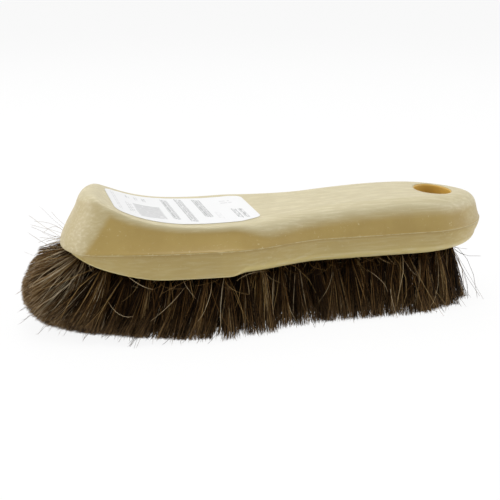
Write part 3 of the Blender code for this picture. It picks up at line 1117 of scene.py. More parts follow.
    def build(self) -> bpy.types.Object:
        """Makes the block, with light that glows through the hang hole's wall away from its rims.

        Returns:
            The block's object.
        """
        form = self.form
        rings, skin = self.rings()
        marks = self.hole_stations(rings[-1])
        top_line, under_line = self.inner_line(rings[-1], marks), self.inner_line(rings[0], marks)
        top = self.cap(rings[-1], top_line, form.top_height)
        under = self.cap(rings[0], under_line, form.underside_height)
        hole = self.hole_side(top_line, marks)
        # Painted glow on the hang hole's wall, away from its rims.
        from_rim = 1.0 - np.abs(np.linspace(-1.0, 1.0, len(hole)))
        in_hole = 2.0 * smooth(1.0 - from_rim / self.glow_from_rim) - 1.0
        # Full painted sheen on the upper face and on the tufted face.
        full = np.ones(self.cap_steps + 1)
        patches = Patchwork()
        for part, value in ((rings, skin), (top, full), (under, full), (hole, in_hole)):
            patches.add_mirrored(form.placed(part), value)
        mesh = patches.mesh("moulded_block", "skin")
        self.spread_painted_light(mesh)
        return add_piece(mesh, FoamPlastic(form.parting_height), "handle_block")


@dataclass(frozen=True)
class Print:
    """A block of greeked print: lines of ink, broken into words of uneven length."""

    start: float
    end: float
    low: float
    high: float
    strength: float
    line_pitch: float
    word_pitch: float
    along: bool = False
    line_gap: float = 0.28
    word_gap: float = 0.16
    ragged: float = 0.0012
    line_spread: float = 12.9898
    line_phase: float = 1.7
    end_spread: float = 78.233
    wander: float = 0.45
    wander_rate: float = 2.1
    wander_phase: float = 3.0

    def ink(self, u: Array, y: Array) -> Array:
        """Strength of the ink.

        A line's words and its two ends shift by sines of large multiples of the line's number, and
        the words' lengths wander by a slower sine.

        Args:
            u: Places along the label.
            y: Places across it.

        Returns:
            Strength at each place, 0 outside the block.
        """
        cross, run = (y - self.low, u - self.start) if self.along else (u - self.start, y - self.low)
        length = self.end - self.start if self.along else self.high - self.low
        depth = self.high - self.low if self.along else self.end - self.start
        line = cross / self.line_pitch
        number = np.floor(line)
        shift = np.sin(self.line_spread * number + self.line_phase)
        word = run / self.word_pitch
        wander = self.wander * np.sin(self.wander_rate * word + self.wander_phase * number)
        word = word + wander + shift
        inside = (cross >= 0.0) & (cross < depth) & (run >= self.ragged * np.abs(shift))
        inside &= run < length - self.ragged * np.abs(np.sin(self.end_spread * number))
        inside &= ((line % 1.0) > self.line_gap) & ((word % 1.0) > self.word_gap)
        return np.where(inside, self.strength, 0.0)


@dataclass(frozen=True)
class Label:
    """Paper label in the saddle, laid on a little askew, with a generic greeked print."""

    form: BlockForm
    starts_at: float = 0.0257
    length: float = 0.0729
    half_width: float = 0.0224
    margin: float = 0.0033
    corner: float = 0.0028
    corner_steps: int = 8
    thickness: float = 0.00012
    lift: float = 0.00010
    pitch: float = 0.00028
    front_skew: float = -0.186
    tail_skew: float = -0.104
    settling_rounds: int = 8
    prints: tuple[Print, ...] = (
        Print(0.0289, 0.0326, -0.0158, 0.0185, 0.62, 0.00062, 0.0031),
        Print(0.0368, 0.0407, -0.0193, 0.0208, 0.66, 0.00065, 0.0036),
        Print(0.0459, 0.0500, -0.0126, 0.0192, 0.64, 0.00068, 0.0029),
        Print(0.0120, 0.0256, -0.0158, 0.0032, 0.40, 0.00190, 0.0210, True, 0.36, 0.04, 0.0004),
        Print(0.0118, 0.0258, -0.0160, 0.0034, 0.17, 0.02000, 0.0300, True, 0.0, 0.0),
        Print(0.0080, 0.0112, -0.0125, 0.0022, 0.45, 0.00100, 0.0013, False, 0.40, 0.42),
        Print(0.0025, 0.0046, -0.0140, 0.0125, 0.26, 0.00095, 0.0017, False, 0.45, 0.40),
        Print(0.0102, 0.0124, 0.0085, 0.0140, 0.42, 0.00110, 0.0024, False, 0.35, 0.35),
        Print(0.0144, 0.0165, 0.0082, 0.0150, 0.42, 0.00105, 0.0026, False, 0.35, 0.35),
        Print(0.0184, 0.0206, 0.0085, 0.0155, 0.42, 0.00110, 0.0022, False, 0.35, 0.35),
        Print(0.0618, 0.0642, -0.0175, -0.0010, 0.74, 0.00060, 0.0021, False, 0.30, 0.28),
        Print(0.0650, 0.0675, -0.0180, -0.0015, 0.74, 0.00062, 0.0024, False, 0.30, 0.28),
        Print(0.0520, 0.0548, -0.0165, -0.0040, 0.12, 0.00070, 0.0019, False, 0.30, 0.35),
        Print(0.0585, 0.0655, 0.0075, 0.0150, 0.20, 0.00350, 0.0080, True, 0.45, 0.10),
    )

    def skew(self, along: Array) -> Array:
        """How far places shift back for each metre across, changing evenly along the label."""
        return toward(self.front_skew, self.tail_skew, along / self.length)

    def edge(self, along: Array, side: Side) -> Array:
        """Half width on one side, which keeps a margin to the upper face's edge.

        The half width and its place on the skewed label depend on each other, and are settled by
        repeated correction. Corners are quarter circles.

        Args:
            along: Places along the label.
            side: Which side.

        Returns:
            Half widths.
        """
        missing = np.maximum(self.corner - np.minimum(along, self.length - along), 0.0)
        rounding = self.corner - np.sqrt(self.corner**2 - missing**2)
        half = np.full_like(along, self.half_width)
        for _ in range(self.settling_rounds):
            u = self.starts_at + along + self.skew(along) * side.value * half
            half = np.minimum(self.form.top_half_width(u) - self.margin, self.half_width) - rounding
        return half

    def build(self) -> bpy.types.Object:
        """Makes the label as an even grid laid on the saddle, thickened downwards.

        Returns:
            The label's object.
        """
        ends = self.corner * end_curve(self.corner_steps, CIRCLE)[0]
        middle = np.linspace(self.corner, self.length - self.corner, int(self.length / self.pitch))
        along = np.concatenate([ends, middle, self.length - ends[::-1]])
        across = np.linspace(0.0, 1.0, int(2.0 * self.half_width / self.pitch))
        right, left = -self.edge(along, Side.RIGHT)[:, None], self.edge(along, Side.LEFT)[:, None]
        own_y = toward(right, left, across)
        own_u = np.broadcast_to(along[:, None], own_y.shape)
        u = self.starts_at + own_u + self.skew(own_u) * own_y
        height = self.form.top_height(u) + self.lift + self.thickness
        points = self.form.placed(stacked(u, own_y, height)).reshape(-1, 3)
        faces = grid_faces(len(along), len(across))
        mesh = make_mesh("printed_label", points, faces.ravel(), np.full(len(faces), 4))
        add_values(mesh, "ink", np.max([block.ink(own_u, own_y) for block in self.prints], axis=0))
        piece = add_piece(mesh, LabelPaper(), "paper_label")
        wall = piece.modifiers.new("paper", "SOLIDIFY")
        wall.thickness = self.thickness
        wall.offset = -1.0
        return piece


@dataclass(frozen=True)
class HairLie:
    """How the hair leans, spreads and is trimmed."""

    form: BlockForm
    side_flare: float = 0.0044
    nose_flare_loss: float = 0.0050
    nose_flare_length: float = 0.045
    tail_flare_loss: float = 0.0060
    tail_length: float = 0.022
    nose_fan: float = math.radians(40)
    nose_fan_length: float = 0.018
    head_fan: float = math.radians(30)
    head_fan_from: float = 0.045
    head_fan_length: float = 0.060
    tail_fan: float = math.radians(6)
    side_fan_loss: float = 0.40
    foot_front: float = -0.0075
    foot_bend: float = 57.0
    nose_reach: float = 0.0152
    reach_bend: float = 40.0
    nose_rise: float = 0.0178
    rise_bend: float = 14.0
    steepest: float = math.radians(82)

    def near_tail(self, u: Array) -> Array:
        """0 along the block, rising as a bell towards 1 at the handle's end."""
        return bell(u, self.form.length, self.tail_length)

    def fan_angle(self, u: Array, y: Array) -> Array:
        """Lean from upright: forwards over the head, less so towards the sides, back at the tail.

        Args:
            u: Places along the block.
            y: Places across it.

        Returns:
            Angles.
        """
        nose = self.nose_fan * np.exp(-u / self.nose_fan_length)
        head = self.head_fan * (1.0 - smooth((u - self.head_fan_from) / self.head_fan_length))
        sideways = 1.0 - self.side_fan_loss * (y / self.form.side_half_width(u)) ** 2
        return (nose + head) * sideways - self.tail_fan * self.near_tail(u)

    def side_lean(self, u: Array) -> Array:
        """How far the outermost hair of a row leans out sideways.

        Args:
            u: Places along the block.

        Returns:
            Distances.
        """
        nose = self.nose_flare_loss * (1.0 - smooth(u / self.nose_flare_length))
        inset = self.form.undercut + self.form.lower_edge_radius(u) + self.form.tuft_rim
        return inset + self.side_flare - nose - self.tail_flare_loss * self.near_tail(u)

    def tips(self, u: Array, y: Array, height: Array, stray: Array) -> Array:
        """Tips of hairs for where they stand.

        The hair spreads evenly out to the sides and is trimmed level with the ground. Ahead of
        the foot line it is trimmed to the front of an ellipse that stands on the ground, at the
        far one of the two crossings of the hair's line with it, or where the line comes nearest.
        Towards the sides the foot line bends back and the ellipse grows, by the square of the
        distance.

        Args:
            u: Places along the block.
            y: Places across it.
            height: Heights of the roots.
            stray: Angles by which the hairs miss the even lean.

        Returns:
            Places along, across and heights.
        """
        form = self.form
        outermost = form.side_half_width(u) - form.undercut - form.lower_edge_radius(u) - form.tuft_rim
        tip_y = y * (1.0 + self.side_lean(u) / outermost)
        angle = np.clip(self.fan_angle(u, y) + stray, -self.steepest, self.steepest)
        tip_u = u - height * np.tan(angle)
        foot = self.foot_front + self.foot_bend * tip_y**2
        length = self.nose_reach + self.reach_bend * tip_y**2
        rise = self.nose_rise + self.rise_bend * tip_y**2
        root = stacked((u - foot) / length, height / rise - 1.0)
        lean = stacked(-np.sin(angle) / length, -np.cos(angle) / rise)
        along = np.sum(root * lean, axis=-1)
        squared = np.sum(lean * lean, axis=-1)
        spread = np.maximum(along**2 - squared * (np.sum(root * root, axis=-1) - 1.0), 0.0)
        reach = (np.sqrt(spread) - along) / squared
        level = tip_u >= foot
        tip_z = np.where(level, 0.0, height - reach * np.cos(angle))
        return stacked(np.where(level, tip_u, u - reach * np.sin(angle)), tip_y, tip_z)


@dataclass(frozen=True)
class TuftRow:
    """Middles of one row's tufts and the half cell that each one's hair spreads over."""

    node: str
    u: Array
    y: Array
    half_u: float
    half_y: float


@dataclass(frozen=True)
class Tufting:
    """Pattern of the drilled tufts under the block."""

    form: BlockForm
    row_pitch: float = 0.010
    slice_length: float = 0.0072
    tuft_pitch: float = 0.0088
    front_rim: float = 0.0038
    row_radius: float = 0.037
    row_bend_length: float = 0.090
    tail_tufts: int = 3
    tail_reach: float = 0.46
    hole_wall: float = 0.0012
    settling_rounds: int = 16

    def row_curve(self, u: float) -> float:
        """How strongly a row bends back towards its ends."""
        return 0.5 / self.row_radius * max(1.0 - u / self.row_bend_length, 0.0) ** 2

    def half_run(self, u: float) -> float:
        """Half length of a row, settled by repeated correction of its end corners.

        Args:
            u: Place of the row's middle.

        Returns:
            The half length.
        """
        half = self.form.side_half_width(u)
        for _ in range(self.settling_rounds):
            end = u + self.row_curve(u) * half**2
            corners = self.form.face_half_width(end + 0.5 * self.slice_length * np.array([-1.0, 1.0]))
            half = corners.min() - self.form.tuft_rim
        return float(half)

    def rows(self) -> list[TuftRow]:
        """All rows from the front to the tail, and the two strips beside the hang hole.

        Returns:
            The rows.
        """
        form = self.form
        first = form.undercut + form.head_lower_edge + self.front_rim + 0.5 * self.slice_length
        last = form.hole_at - form.hole_radius - self.hole_wall - 0.5 * self.slice_length
        places = first + self.row_pitch * np.arange(int((last - first) / self.row_pitch) + 1)
        rows = []
        for i, place in enumerate(places):
            half = self.half_run(place)
            count = max(round(2.0 * half / self.tuft_pitch), 1)
            y = half * ((2.0 * np.arange(count) + 1.0) / count - 1.0)
            u = place + self.row_curve(place) * y**2
            rows.append(TuftRow("bristle_row_%02d" % (i + 1), u, y, 0.5 * self.row_pitch, half / count))
        strip = float(form.face_half_width(form.hole_at)) - form.tuft_rim - form.hole_radius - self.hole_wall
        across = 0.5 * strip
        start = places[-1] + self.row_pitch - 0.5 * self.slice_length
        u = start + self.tuft_pitch * (np.arange(self.tail_tufts) + 0.5)
        for side in Side:
            y = side.value * (form.face_half_width(u) - form.tuft_rim - across)
            name = "tail_bristles_%s" % side.name.lower()
            rows.append(TuftRow(name, u, y, self.tail_reach * self.tuft_pitch, across))
        return rows


@dataclass
class HairBunch:
    """Hairs of one piece as arrays, one entry for each hair."""

    root: Array
    tip: Array
    sag: Array
    wave: Array
    turns: Array
    tone: Array
    radius: Array
    steps: int = 5
    sides: int = 3
    taper: float = 0.22
    last_ring: float = 0.965
    ground: float = 0.00005
    tip_calm: float = 0.5
    spoke_aim: Place = (0.05, 1.0, 0.1)
    cell_margin: float = 0.12

    def ring_places(self) -> Array:
        """Places of a hair's rings along it, the last close to the tip, since the hair is cut off."""
        return np.append(np.linspace(0.0, self.last_ring, self.steps), 1.0)

    def centre_lines(self) -> Array:
        """Points along each hair: a parabola from root to tip, with a small wave over it.

        Returns:
            Points by hair and ring, the last one being the tip.
        """
        t = self.ring_places()[None, :, None]
        line = toward(self.root[:, None], self.tip[:, None], t)
        line = line + self.sag[:, None] * (4.0 * t * (1.0 - t))
        swing = np.sin(2.0 * np.pi * (t * self.turns[:, None, :1] + self.turns[:, None, 1:]))
        line = line + self.wave[:, None] * swing * t * (1.0 - self.tip_calm * t)
        line[..., 2] = np.maximum(line[..., 2], self.ground)
        return line

    def one_hair(self) -> tuple[Array, Array, Array]:
        """Faces of a single hair: quads between its rings, triangles to its tip and over its root.

        Returns:
            The ring and the side of every face corner, and the number of corners of each face.
        """
        rings, sides = self.steps, self.sides
        ring, side = np.meshgrid(np.arange(rings - 1), np.arange(sides), indexing="ij")
        quad_rings = ring[..., None] + np.array([0, 0, 1, 1])
        quad_sides = side[..., None] + np.array([0, 1, 1, 0])
        around = np.arange(sides)[:, None]
        tip_rings = np.broadcast_to([rings - 1, rings - 1, rings], (sides, 3))
        tip_sides = around + np.array([0.0, 1.0, 0.5])
        corner_ring = np.concatenate([quad_rings.ravel(), tip_rings.ravel(), np.zeros(sides)])
        corner_side = np.concatenate([quad_sides.ravel(), tip_sides.ravel(), around[::-1, 0]])
        counts = np.concatenate([np.full((rings - 1) * sides, 4), np.full(sides, 3), [sides]])
        return corner_ring, corner_side, counts

    def mesh(self, name: str) -> bpy.types.Mesh:
        """Closed tubes, cut off nearly square, with a cell of the bake map for each hair.

        Args:
            name: Name of the mesh.

        Returns:
            The mesh with its tone and along values.
        """
        line = self.centre_lines()
        count, rings, sides = len(line), self.steps, self.sides
        tangent = unit(np.gradient(line, axis=1))
        across = unit(np.cross(tangent, np.array(self.spoke_aim)))
        other = np.cross(tangent, across)
        share = self.ring_places()[:-1]
        turn = 2.0 * np.pi * np.arange(sides)[:, None] / sides
        spokes = across[:, :rings, None] * np.cos(turn) + other[:, :rings, None] * np.sin(turn)
        radius = self.radius[:, None] * (1.0 - self.taper * share)
        body = line[:, :rings, None] + spokes * radius[..., None, None]
        points = np.concatenate([body.reshape(count, -1, 3), line[:, -1:]], axis=1)
        per_hair = points.shape[1]

        corner_ring, corner_side, counts = self.one_hair()
        own = np.where(corner_ring == rings, rings * sides, corner_ring * sides + corner_side % sides)
        corners = own.astype(int) + per_hair * np.arange(count)[:, None]
        mesh = make_mesh(name, points.reshape(-1, 3), corners.ravel(), np.tile(counts, count))

        cells = math.ceil(math.sqrt(count))
        cell = stacked(np.arange(count) % cells, np.arange(count) // cells)
        own_uv = stacked(corner_side / sides, corner_ring / rings)
        uv = (cell[:, None] + toward(self.cell_margin, 1.0 - self.cell_margin, own_uv)) / cells
        mesh.uv_layers.new(name="OFBake").data.foreach_set("uv", uv.astype(np.float32).ravel())
        add_values(mesh, "tone", np.repeat(self.tone, per_hair))
        add_values(mesh, "along", np.tile(np.append(np.repeat(share, sides), 1.0), count))
        return mesh


@dataclass(frozen=True)
class HorsehairCoat:
    """All hair of the brush: tufts in rows, made of locks, with stray hairs among them."""

    form: BlockForm
    hairs_per_tuft: int = 600
    locks: int = 22
    lock_spread: float = 0.8
    hole: float = 0.0026
    embed: float = 0.0008
    spread: tuple[float, float] = (1.45, 1.12)
    edge_bias: tuple[float, float] = (1.0, 1.3)
    clump: float = 0.34
    clump_range: Range = (0.4, 1.4)
    target_noise: float = 0.06
    radius: float = 0.000108
    thickness: Range = (0.75, 1.3)
    pale_from: float = 0.8
    pale_thickness: float = 1.35
    lean_noise: float = math.radians(5.2)
    own_lean: float = 0.5
    trim_noise: float = 0.012
    lock_trim_noise: float = 0.016
    wild_share: float = 0.070
    wild_lean: float = math.radians(13.0)
    wild_aside: float = 0.0030
    widest: float = 0.0415
    furthest: float = 0.2280
    stray_share: float = 0.0035
    stray_reach: float = 0.015
    stray_along: float = 0.75
    stray_out: Range = (0.1, 0.55)
    stray_down: Range = (0.05, 0.6)
    bow: Place = (-0.07, 0.10, 0.0)
    bow_noise: float = 0.012
    wild_bow_noise: float = 0.08
    wave: float = 0.00032
    lock_tone: float = 0.28
    own_tone: float = 0.66
    tone_power: float = 1.6
    wild_tone: float = 0.10
    pale_share: float = 0.050
    pale_tones: Range = (0.72, 1.0)
    wild_pale: float = 4.0
    # Tone raised at the front: painted light where the nose's hair catches the light from above.
    nose_painted_light: float = 1.90
    nose_length: float = 0.0060
    long_share: float = 0.003
    long_range: Range = (1.05, 1.22)
    seed: int = 7

    def locks_of(self, own: Array, rng: np.random.Generator) -> tuple[Array, Array]:
        """Sorts the hairs of each tuft into locks.

        Args:
            own: Each hair's place in its tuft's cell, from -1 to 1 each way.
            rng: Source of the random draws.

        Returns:
            Each hair's lock and the lock's place.
        """
        middles = rng.uniform(-1.0, 1.0, (len(own), self.locks, 2))
        away = own[:, :, None] - self.lock_spread * middles[:, None]
        lock = np.linalg.norm(away, axis=-1).argmin(axis=2)
        return lock, np.take_along_axis(middles, lock[..., None], axis=1)

    def tones(self, lock: Array, wild: Array, rng: np.random.Generator) -> Array:
        """Tones from 0 for nearly black to 1 for white, partly shared by a lock.

        Args:
            lock: Each hair's lock.
            wild: Which hairs are wild or stray.
            rng: Source of the random draws.

        Returns:
            A tone for each hair.
        """
        shared = np.take_along_axis(rng.random((len(lock), self.locks)), lock, axis=1)
        tone = self.lock_tone * shared + self.own_tone * rng.random(lock.shape) ** self.tone_power
        tone = tone + self.wild_tone * wild
        pale = rng.random(lock.shape) < self.pale_share * (1.0 + self.wild_pale * wild)
        return np.where(pale, rng.uniform(*self.pale_tones, lock.shape), np.minimum(tone, 1.0))

    def leans(self, lock: Array, rng: np.random.Generator) -> tuple[Array, Array, Array]:
        """Angles by which the hairs miss the even lean, partly shared by a lock.

        Args:
            lock: Each hair's lock.
            rng: Source of the random draws.

        Returns:
            The angles, which hairs are wild and which ones stray.
        """
        lean = np.take_along_axis(rng.normal(0.0, self.lean_noise, (len(lock), self.locks)), lock, axis=1)
        lean = lean + rng.normal(0.0, self.own_lean * self.lean_noise, lock.shape)
        wild = rng.random(lock.shape) < self.wild_share
        stray = rng.random(lock.shape) < self.stray_share
        return lean + wild * rng.normal(0.0, self.wild_lean, lock.shape), wild, stray

    def cuts(self, lock: Array, rng: np.random.Generator) -> Array:
        """Shares of the full length that the hairs are trimmed to, a few of them too long.

        Args:
            lock: Each hair's lock.
            rng: Source of the random draws.

        Returns:
            A share for each hair.
        """
        lock_cut = np.abs(rng.normal(0.0, self.lock_trim_noise, (len(lock), self.locks)))
        cut = 1.0 - np.take_along_axis(lock_cut, lock, axis=1)
        cut = cut - np.abs(rng.normal(0.0, self.trim_noise, lock.shape))
        missed = rng.random(lock.shape) < self.long_share
        return np.where(missed, rng.uniform(*self.long_range, lock.shape), cut)

    def out_of_coat(self, side: Array, rng: np.random.Generator) -> Array:
        """Ways from root to tip of stray hairs, which run out sideways and down.

        Args:
            side: Side of each hair, by the sign of Y.
            rng: Source of the random draws.

        Returns:
            The ways.
        """
        along = rng.normal(0.0, self.stray_along, side.shape)
        out = side * rng.uniform(*self.stray_out, side.shape)
        return self.stray_reach * stacked(along, out, -rng.uniform(*self.stray_down, side.shape))

    def grow(self, row: TuftRow, rng: np.random.Generator) -> HairBunch:
        """Grows one row.

        Each hair starts in its tuft's hole, to which the square cell is rounded. A tuft's hairs
        fall into locks, and a hair's tip is a blend of its own place in the cell and its lock's.
        A few hairs lean wildly, a few strays run sideways out of the coat, and the front gets painted light.

        Args:
            row: The tufts.
            rng: Source of the random draws.

        Returns:
            The row's hairs.
        """
        form, shape = self.form, (len(row.u), self.hairs_per_tuft)
        own = rng.uniform(-1.0, 1.0, (*shape, 2))
        lock, middle = self.locks_of(own, rng)
        clump = self.clump * rng.uniform(*self.clump_range, (*shape, 1))
        target = toward(own, middle, clump) + rng.normal(0.0, self.target_noise, own.shape)
        target = np.clip(target * np.array(self.edge_bias), -1.0, 1.0)
        lean, wild, stray = self.leans(lock, rng)

        row_middle = stacked(row.u, row.y)[:, None]
        drilled = row_middle + self.hole * own * np.sqrt(1.0 - 0.5 * own[..., ::-1] ** 2)
        root = stacked(drilled[..., 0], drilled[..., 1], form.underside_height(drilled[..., 0]) + self.embed)
        stand = row_middle + np.array(self.spread) * np.array([row.half_u, row.half_y]) * target
        stand_u, stand_y = np.moveaxis(stand, -1, 0)
        tip = HairLie(form).tips(stand_u, stand_y, form.underside_height(stand_u), lean)
        tip[..., 1] += wild * rng.normal(0.0, self.wild_aside, shape)
        reach = (tip - root) * self.cuts(lock, rng)[..., None]
        reach = np.where(stray[..., None], self.out_of_coat(np.sign(root[..., 1]), rng), reach)
        length = np.linalg.norm(reach, axis=-1, keepdims=True)
        sag = reach * np.array(self.bow) + rng.normal(0.0, self.bow_noise, reach.shape) * length
        unruly = wild | stray
        sag += unruly[..., None] * rng.normal(0.0, self.wild_bow_noise, reach.shape) * length
        tip = root + reach
        tip[..., 0] = np.minimum(tip[..., 0], self.furthest)
        tip[..., 1] = np.clip(tip[..., 1], -self.widest, self.widest)
        # Painted light on the front hair, as a raised tone.
        painted_lightening = self.nose_painted_light * np.exp(-row.u[:, None] / self.nose_length)
        tone = np.minimum(self.tones(lock, unruly, rng) + painted_lightening, 1.0)
        bold = np.where(tone > self.pale_from, self.pale_thickness, 1.0)
        thick = self.radius * rng.uniform(*self.thickness, shape) * bold
        return HairBunch(
            root=form.placed(root).reshape(-1, 3),
            tip=form.placed(tip).reshape(-1, 3),
            sag=sag.reshape(-1, 3),
            wave=rng.normal(0.0, self.wave, (tone.size, 3)),
            turns=rng.uniform(*WAVE_TURNS, (tone.size, 2)),
            tone=tone.ravel(),
            radius=thick.ravel(),
        )

    def build(self) -> None:
        """Makes one piece of hair for each packed bristle node."""
        for i, row in enumerate(Tufting(self.form).rows()):
            rng = np.random.default_rng(self.seed + i)
            mesh = self.grow(row, rng).mesh(row.node.replace("bristles", "hair").replace("bristle", "hair"))
            add_piece(mesh, Horsehair(), row.node)


@dataclass(frozen=True)
class LooseHairs:
    """Stray hairs that stand out of the coat: some placed one by one, and others at random.

    A placed hair has a root, a tip and a middle. Each is given by its place along the block, how
    far it stands out of the coat's right side, and its height.
    """

    form: BlockForm
    placed: tuple[tuple[Place, Place, Place], ...] = (
        ((0.0210, -0.0010, 0.0230), (0.0340, 0.0050, 0.0160), (0.0265, 0.0050, 0.0172)),
        ((0.0600, -0.0010, 0.0270), (0.0410, 0.0050, 0.0130), (0.0515, 0.0050, 0.0210)),
        ((0.0290, -0.0010, 0.0360), (0.0440, 0.0050, 0.0285), (0.0370, 0.0050, 0.0315)),
        ((0.0730, -0.0010, 0.0290), (0.0640, 0.0050, 0.0120), (0.0700, 0.0050, 0.0210)),
        ((0.0860, -0.0010, 0.0275), (0.1010, 0.0025, 0.0300), (0.0920, 0.0025, 0.0300)),
        ((0.1070, -0.0010, 0.0270), (0.1040, 0.0025, 0.0090), (0.1042, 0.0025, 0.0200)),
        ((0.1400, -0.0010, 0.0280), (0.1290, 0.0025, 0.0110), (0.1360, 0.0025, 0.0190)),
        ((0.1790, -0.0010, 0.0290), (0.1870, 0.0025, 0.0190), (0.1820, 0.0025, 0.0232)),
        ((0.1560, -0.0010, 0.0250), (0.1680, 0.0025, 0.0130), (0.1640, 0.0025, 0.0200)),
    )
    placed_tone: float = 0.97
    placed_thickness: float = 1.6
    edge_hairs: int = 64
    front_hairs: int = 24
    edge_reach: float = 0.013
    edge_end_gap: float = 0.02
    edge_inset: float = 0.001
    edge_along: Range = (0.3, 1.0)
    edge_out: Range = (0.25, 0.5)
    edge_down: Range = (0.1, 0.8)
    edge_bow_along: float = -0.3
    edge_bow_out: float = 0.15
    edge_bow_up: Range = (-0.1, 0.2)
    front_reach: float = 0.020
    front_roots: Range = (0.004, 0.012)
    front_spread: float = 0.7
    front_ahead: Range = (0.6, 1.25)
    front_up: Range = (-0.5, 0.95)
    front_fan: float = 0.5
    front_bow: float = 0.1
    tones: Range = (0.68, 0.98)
    thickness: Range = (0.7, 1.3)
    radius: float = 0.000070
    wave: float = 0.0004
    steps: int = 8
    seed: int = 3

    def on_coat(self, hairs: Array) -> Array:
        """Places in the block's terms of points given by their distance from the coat's side.

        Args:
            hairs: Places along the block, distances out of the coat and heights.

        Returns:
            Places along, across and heights.
        """
        form = self.form
        u, out, z = np.moveaxis(hairs, -1, 0)
        share = 1.0 - z / form.underside_height(u)
        half = form.face_half_width(u) - form.tuft_rim + HairLie(form).side_lean(u) * share
        return stacked(u, -(half + out), z)

    def along_edges(self, rng: np.random.Generator) -> Array:
        """Hairs that lie along both lower edges of the block.

        Args:
            rng: Source of the random draws.

        Returns:
            Root, tip and middle of each hair.
        """
        form, count = self.form, self.edge_hairs
        u = rng.uniform(self.edge_end_gap, form.length - self.edge_end_gap, count)
        side = rng.choice([-1.0, 1.0], count)
        root = stacked(u, side * (form.face_half_width(u) - self.edge_inset), form.underside_height(u))
        run = rng.choice([-1.0, 1.0], count) * rng.uniform(*self.edge_along, count)
        out = side * rng.uniform(*self.edge_out, count)
        reach = stacked(run, out, -rng.uniform(*self.edge_down, count))
        up = rng.uniform(*self.edge_bow_up, count)
        bow = stacked(self.edge_bow_along * run, self.edge_bow_out * side, up)
        return self.bowed(root, self.edge_reach * reach, self.edge_reach * bow)

    def at_front(self, rng: np.random.Generator) -> Array:
        """Fine hairs that fly up and forwards ahead of the head.

        Args:
            rng: Source of the random draws.

        Returns:
            Root, tip and middle of each hair.
        """
        form, count = self.form, self.front_hairs
        u, across = rng.uniform(*self.front_roots, count), rng.uniform(-1.0, 1.0, count)
        root = stacked(u, self.front_spread * across * form.face_half_width(u), form.underside_height(u))
        ahead, up = -rng.uniform(*self.front_ahead, count), rng.uniform(*self.front_up, count)
        reach = stacked(ahead, self.front_fan * across, up)
        bow = rng.normal(0.0, self.front_bow, reach.shape)
        return self.bowed(root, self.front_reach * reach, self.front_reach * bow)

    def bowed(self, root: Array, reach: Array, bow: Array) -> Array:
        """Hairs as root, tip and a middle that is bowed aside."""
        return np.stack([root, root + reach, root + 0.5 * reach + bow], axis=1)

    def build(self) -> bpy.types.Object:
        """Makes all the stray hairs as one piece.

        Returns:
            Their object.
        """
        rng = np.random.default_rng(self.seed)
        placed = self.on_coat(np.array(self.placed))
        hairs = np.concatenate([placed, self.along_edges(rng), self.at_front(rng)])
        root, tip, middle = np.moveaxis(self.form.placed(hairs), 1, 0)
        count = len(hairs)
        drawn = rng.uniform(*self.tones, count)
        is_placed = np.arange(count) < len(placed)
        wave, turns = rng.normal(0.0, self.wave, (count, 3)), rng.uniform(*WAVE_TURNS, (count, 2))
        thickness = rng.uniform(*self.thickness, count)
        bunch = HairBunch(
            root=root,
            tip=tip,
            sag=middle - 0.5 * (root + tip),
            wave=wave,
            turns=turns,
            tone=np.where(is_placed, self.placed_tone, drawn),
            radius=self.radius * np.where(is_placed, self.placed_thickness, thickness),
            steps=self.steps,
        )
        return add_piece(bunch.mesh("loose_hairs"), Horsehair())


@dataclass(frozen=True)
class Softbox:
    """A square soft lamp that points at the brush.

    Its level is the brightness of a white surface that faces it at the brush.
    """

    name: str
    place: Place
    size: float
    level: float


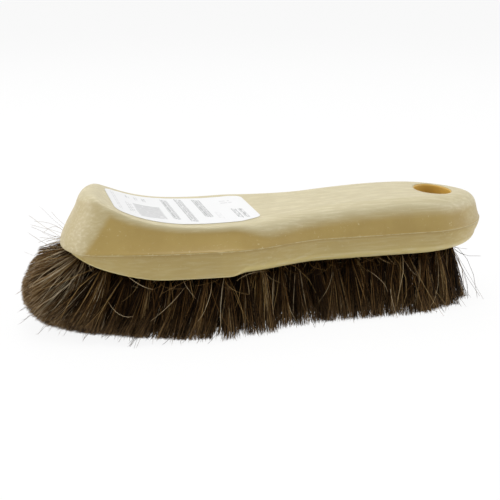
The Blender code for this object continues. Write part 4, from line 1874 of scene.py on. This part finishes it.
@dataclass(frozen=True)
class Studio:
    """Pale floor, white surroundings, soft lamps and the camera."""

    target: Place = (-0.00505, 0.0, 0.0326)
    azimuth: float = math.radians(-11.07)
    elevation: float = math.radians(20.6)
    distance: float = 0.3836
    lens: float = 51.24
    sensor: float = 36.0
    clip: Range = (0.01, 200.0)
    floor_half: float = 30.0
    floor_drop: float = 0.0001
    floor_colour: Colour = (0.94, 0.94, 0.94)
    floor_glow: float = 0.90
    floor_roughness: float = 0.9
    floor_gloss: float = 0.1
    ambient: float = 0.45
    lamps: tuple[Softbox, ...] = (
        Softbox("back_softbox", (0.0, 0.80, 1.30), 1.00, 0.22),
        Softbox("overhead_softbox", (0.0, -0.08, 1.40), 0.60, 0.34),
        Softbox("head_softbox", (-1.20, 0.10, 0.70), 0.80, 0.42),
        Softbox("tail_softbox", (1.20, -0.30, 0.60), 0.80, 0.26),
    )

    def camera(self) -> None:
        """Camera at the photograph's angle, with no roll, shift or blur."""
        data = bpy.data.cameras.new("camera")
        data.lens = self.lens
        data.sensor_width = self.sensor
        data.clip_start, data.clip_end = self.clip
        camera = bpy.data.objects.new("camera", data)
        bpy.context.scene.collection.objects.link(camera)
        back = Vector((math.sin(self.azimuth), -math.cos(self.azimuth), math.tan(self.elevation)))
        back.normalize()
        camera.location = Vector(self.target) + back * self.distance
        camera.rotation_euler = (-back).to_track_quat("-Z", "Y").to_euler()
        bpy.context.scene.camera = camera

    def light(self, softbox: Softbox) -> None:
        """Hangs one softbox.

        Args:
            softbox: The lamp.
        """
        data = bpy.data.lights.new(softbox.name, "AREA")
        data.shape = "SQUARE"
        data.size = softbox.size
        away = Vector(softbox.place) - Vector(self.target)
        data.energy = softbox.level * math.pi**2 * away.length_squared
        lamp = bpy.data.objects.new(softbox.name, data)
        lamp.location = softbox.place
        lamp.rotation_euler = away.to_track_quat("Z", "Y").to_euler()
        bpy.context.scene.collection.objects.link(lamp)

    def seen(self, tree: bpy.types.NodeTree) -> Socket:
        """1 for rays from the camera, gloss or glass, and otherwise 0.

        Args:
            tree: Node tree of the floor or the world.

        Returns:
            The number.
        """
        path = tree.nodes.new("ShaderNodeLightPath")
        total = path.outputs["Is Camera Ray"]
        for name in ("Is Glossy Ray", "Is Transmission Ray"):
            either = tree.nodes.new("ShaderNodeMath")
            either.operation = "MAXIMUM"
            tree.links.new(total, either.inputs[0])
            tree.links.new(path.outputs[name], either.inputs[1])
            total = either.outputs[0]
        return total

    def world(self) -> None:
        """White where the camera, gloss or glass looks, and a softer level for diffuse light."""
        world = bpy.data.worlds.new("studio")
        bpy.context.scene.world = world
        world.use_nodes = True
        tree = world.node_tree
        tree.nodes.clear()
        mix = tree.nodes.new("ShaderNodeMixShader")
        tree.links.new(self.seen(tree), mix.inputs[0])
        for socket, strength in ((mix.inputs[1], self.ambient), (mix.inputs[2], 1.0)):
            glow = tree.nodes.new("ShaderNodeBackground")
            glow.inputs["Color"].default_value = WHITE
            glow.inputs["Strength"].default_value = strength
            tree.links.new(glow.outputs[0], socket)
        output = tree.nodes.new("ShaderNodeOutputWorld")
        tree.links.new(mix.outputs[0], output.inputs["Surface"])

    def floor(self) -> None:
        """Wide level floor that is nearly white and keeps a faint shadow of the brush."""
        square = np.array([(-1.0, -1.0), (1.0, -1.0), (1.0, 1.0), (-1.0, 1.0)])
        corners = np.column_stack([self.floor_half * square, np.full(4, -self.floor_drop)])
        mesh = make_mesh("floor", corners, np.arange(4), np.array([4]))
        floor = bpy.data.objects.new("floor", mesh)
        bpy.context.scene.collection.objects.link(floor)
        recipe = Recipe("pale_floor")
        look = {"Roughness": self.floor_roughness, "Specular_IOR_Level": self.floor_gloss}
        recipe.shade(Base_Color=self.floor_colour, **look)
        glow = recipe.node("ShaderNodeEmission", {"Color": WHITE[:3]})
        share = recipe.math("MULTIPLY", self.seen(recipe.tree), self.floor_glow)
        mix = recipe.node("ShaderNodeMixShader", {0: share, 1: recipe.shader.outputs[0], 2: glow.outputs[0]})
        recipe.tree.links.new(mix.outputs[0], recipe.tree.nodes["Material Output"].inputs["Surface"])
        mesh.materials.append(recipe.made)

    def build(self) -> None:
        """Sets up the studio."""
        self.camera()
        self.world()
        self.floor()
        for softbox in self.lamps:
            self.light(softbox)
        bpy.context.scene.view_settings.view_transform = "Standard"


def main() -> None:
    """Builds the brush and its studio."""
    form = BlockForm()
    Studio().build()
    HandleBlock(form).build()
    Label(form).build()
    HorsehairCoat(form).build()
    LooseHairs(form).build()


if __name__ == "__main__":
    main()
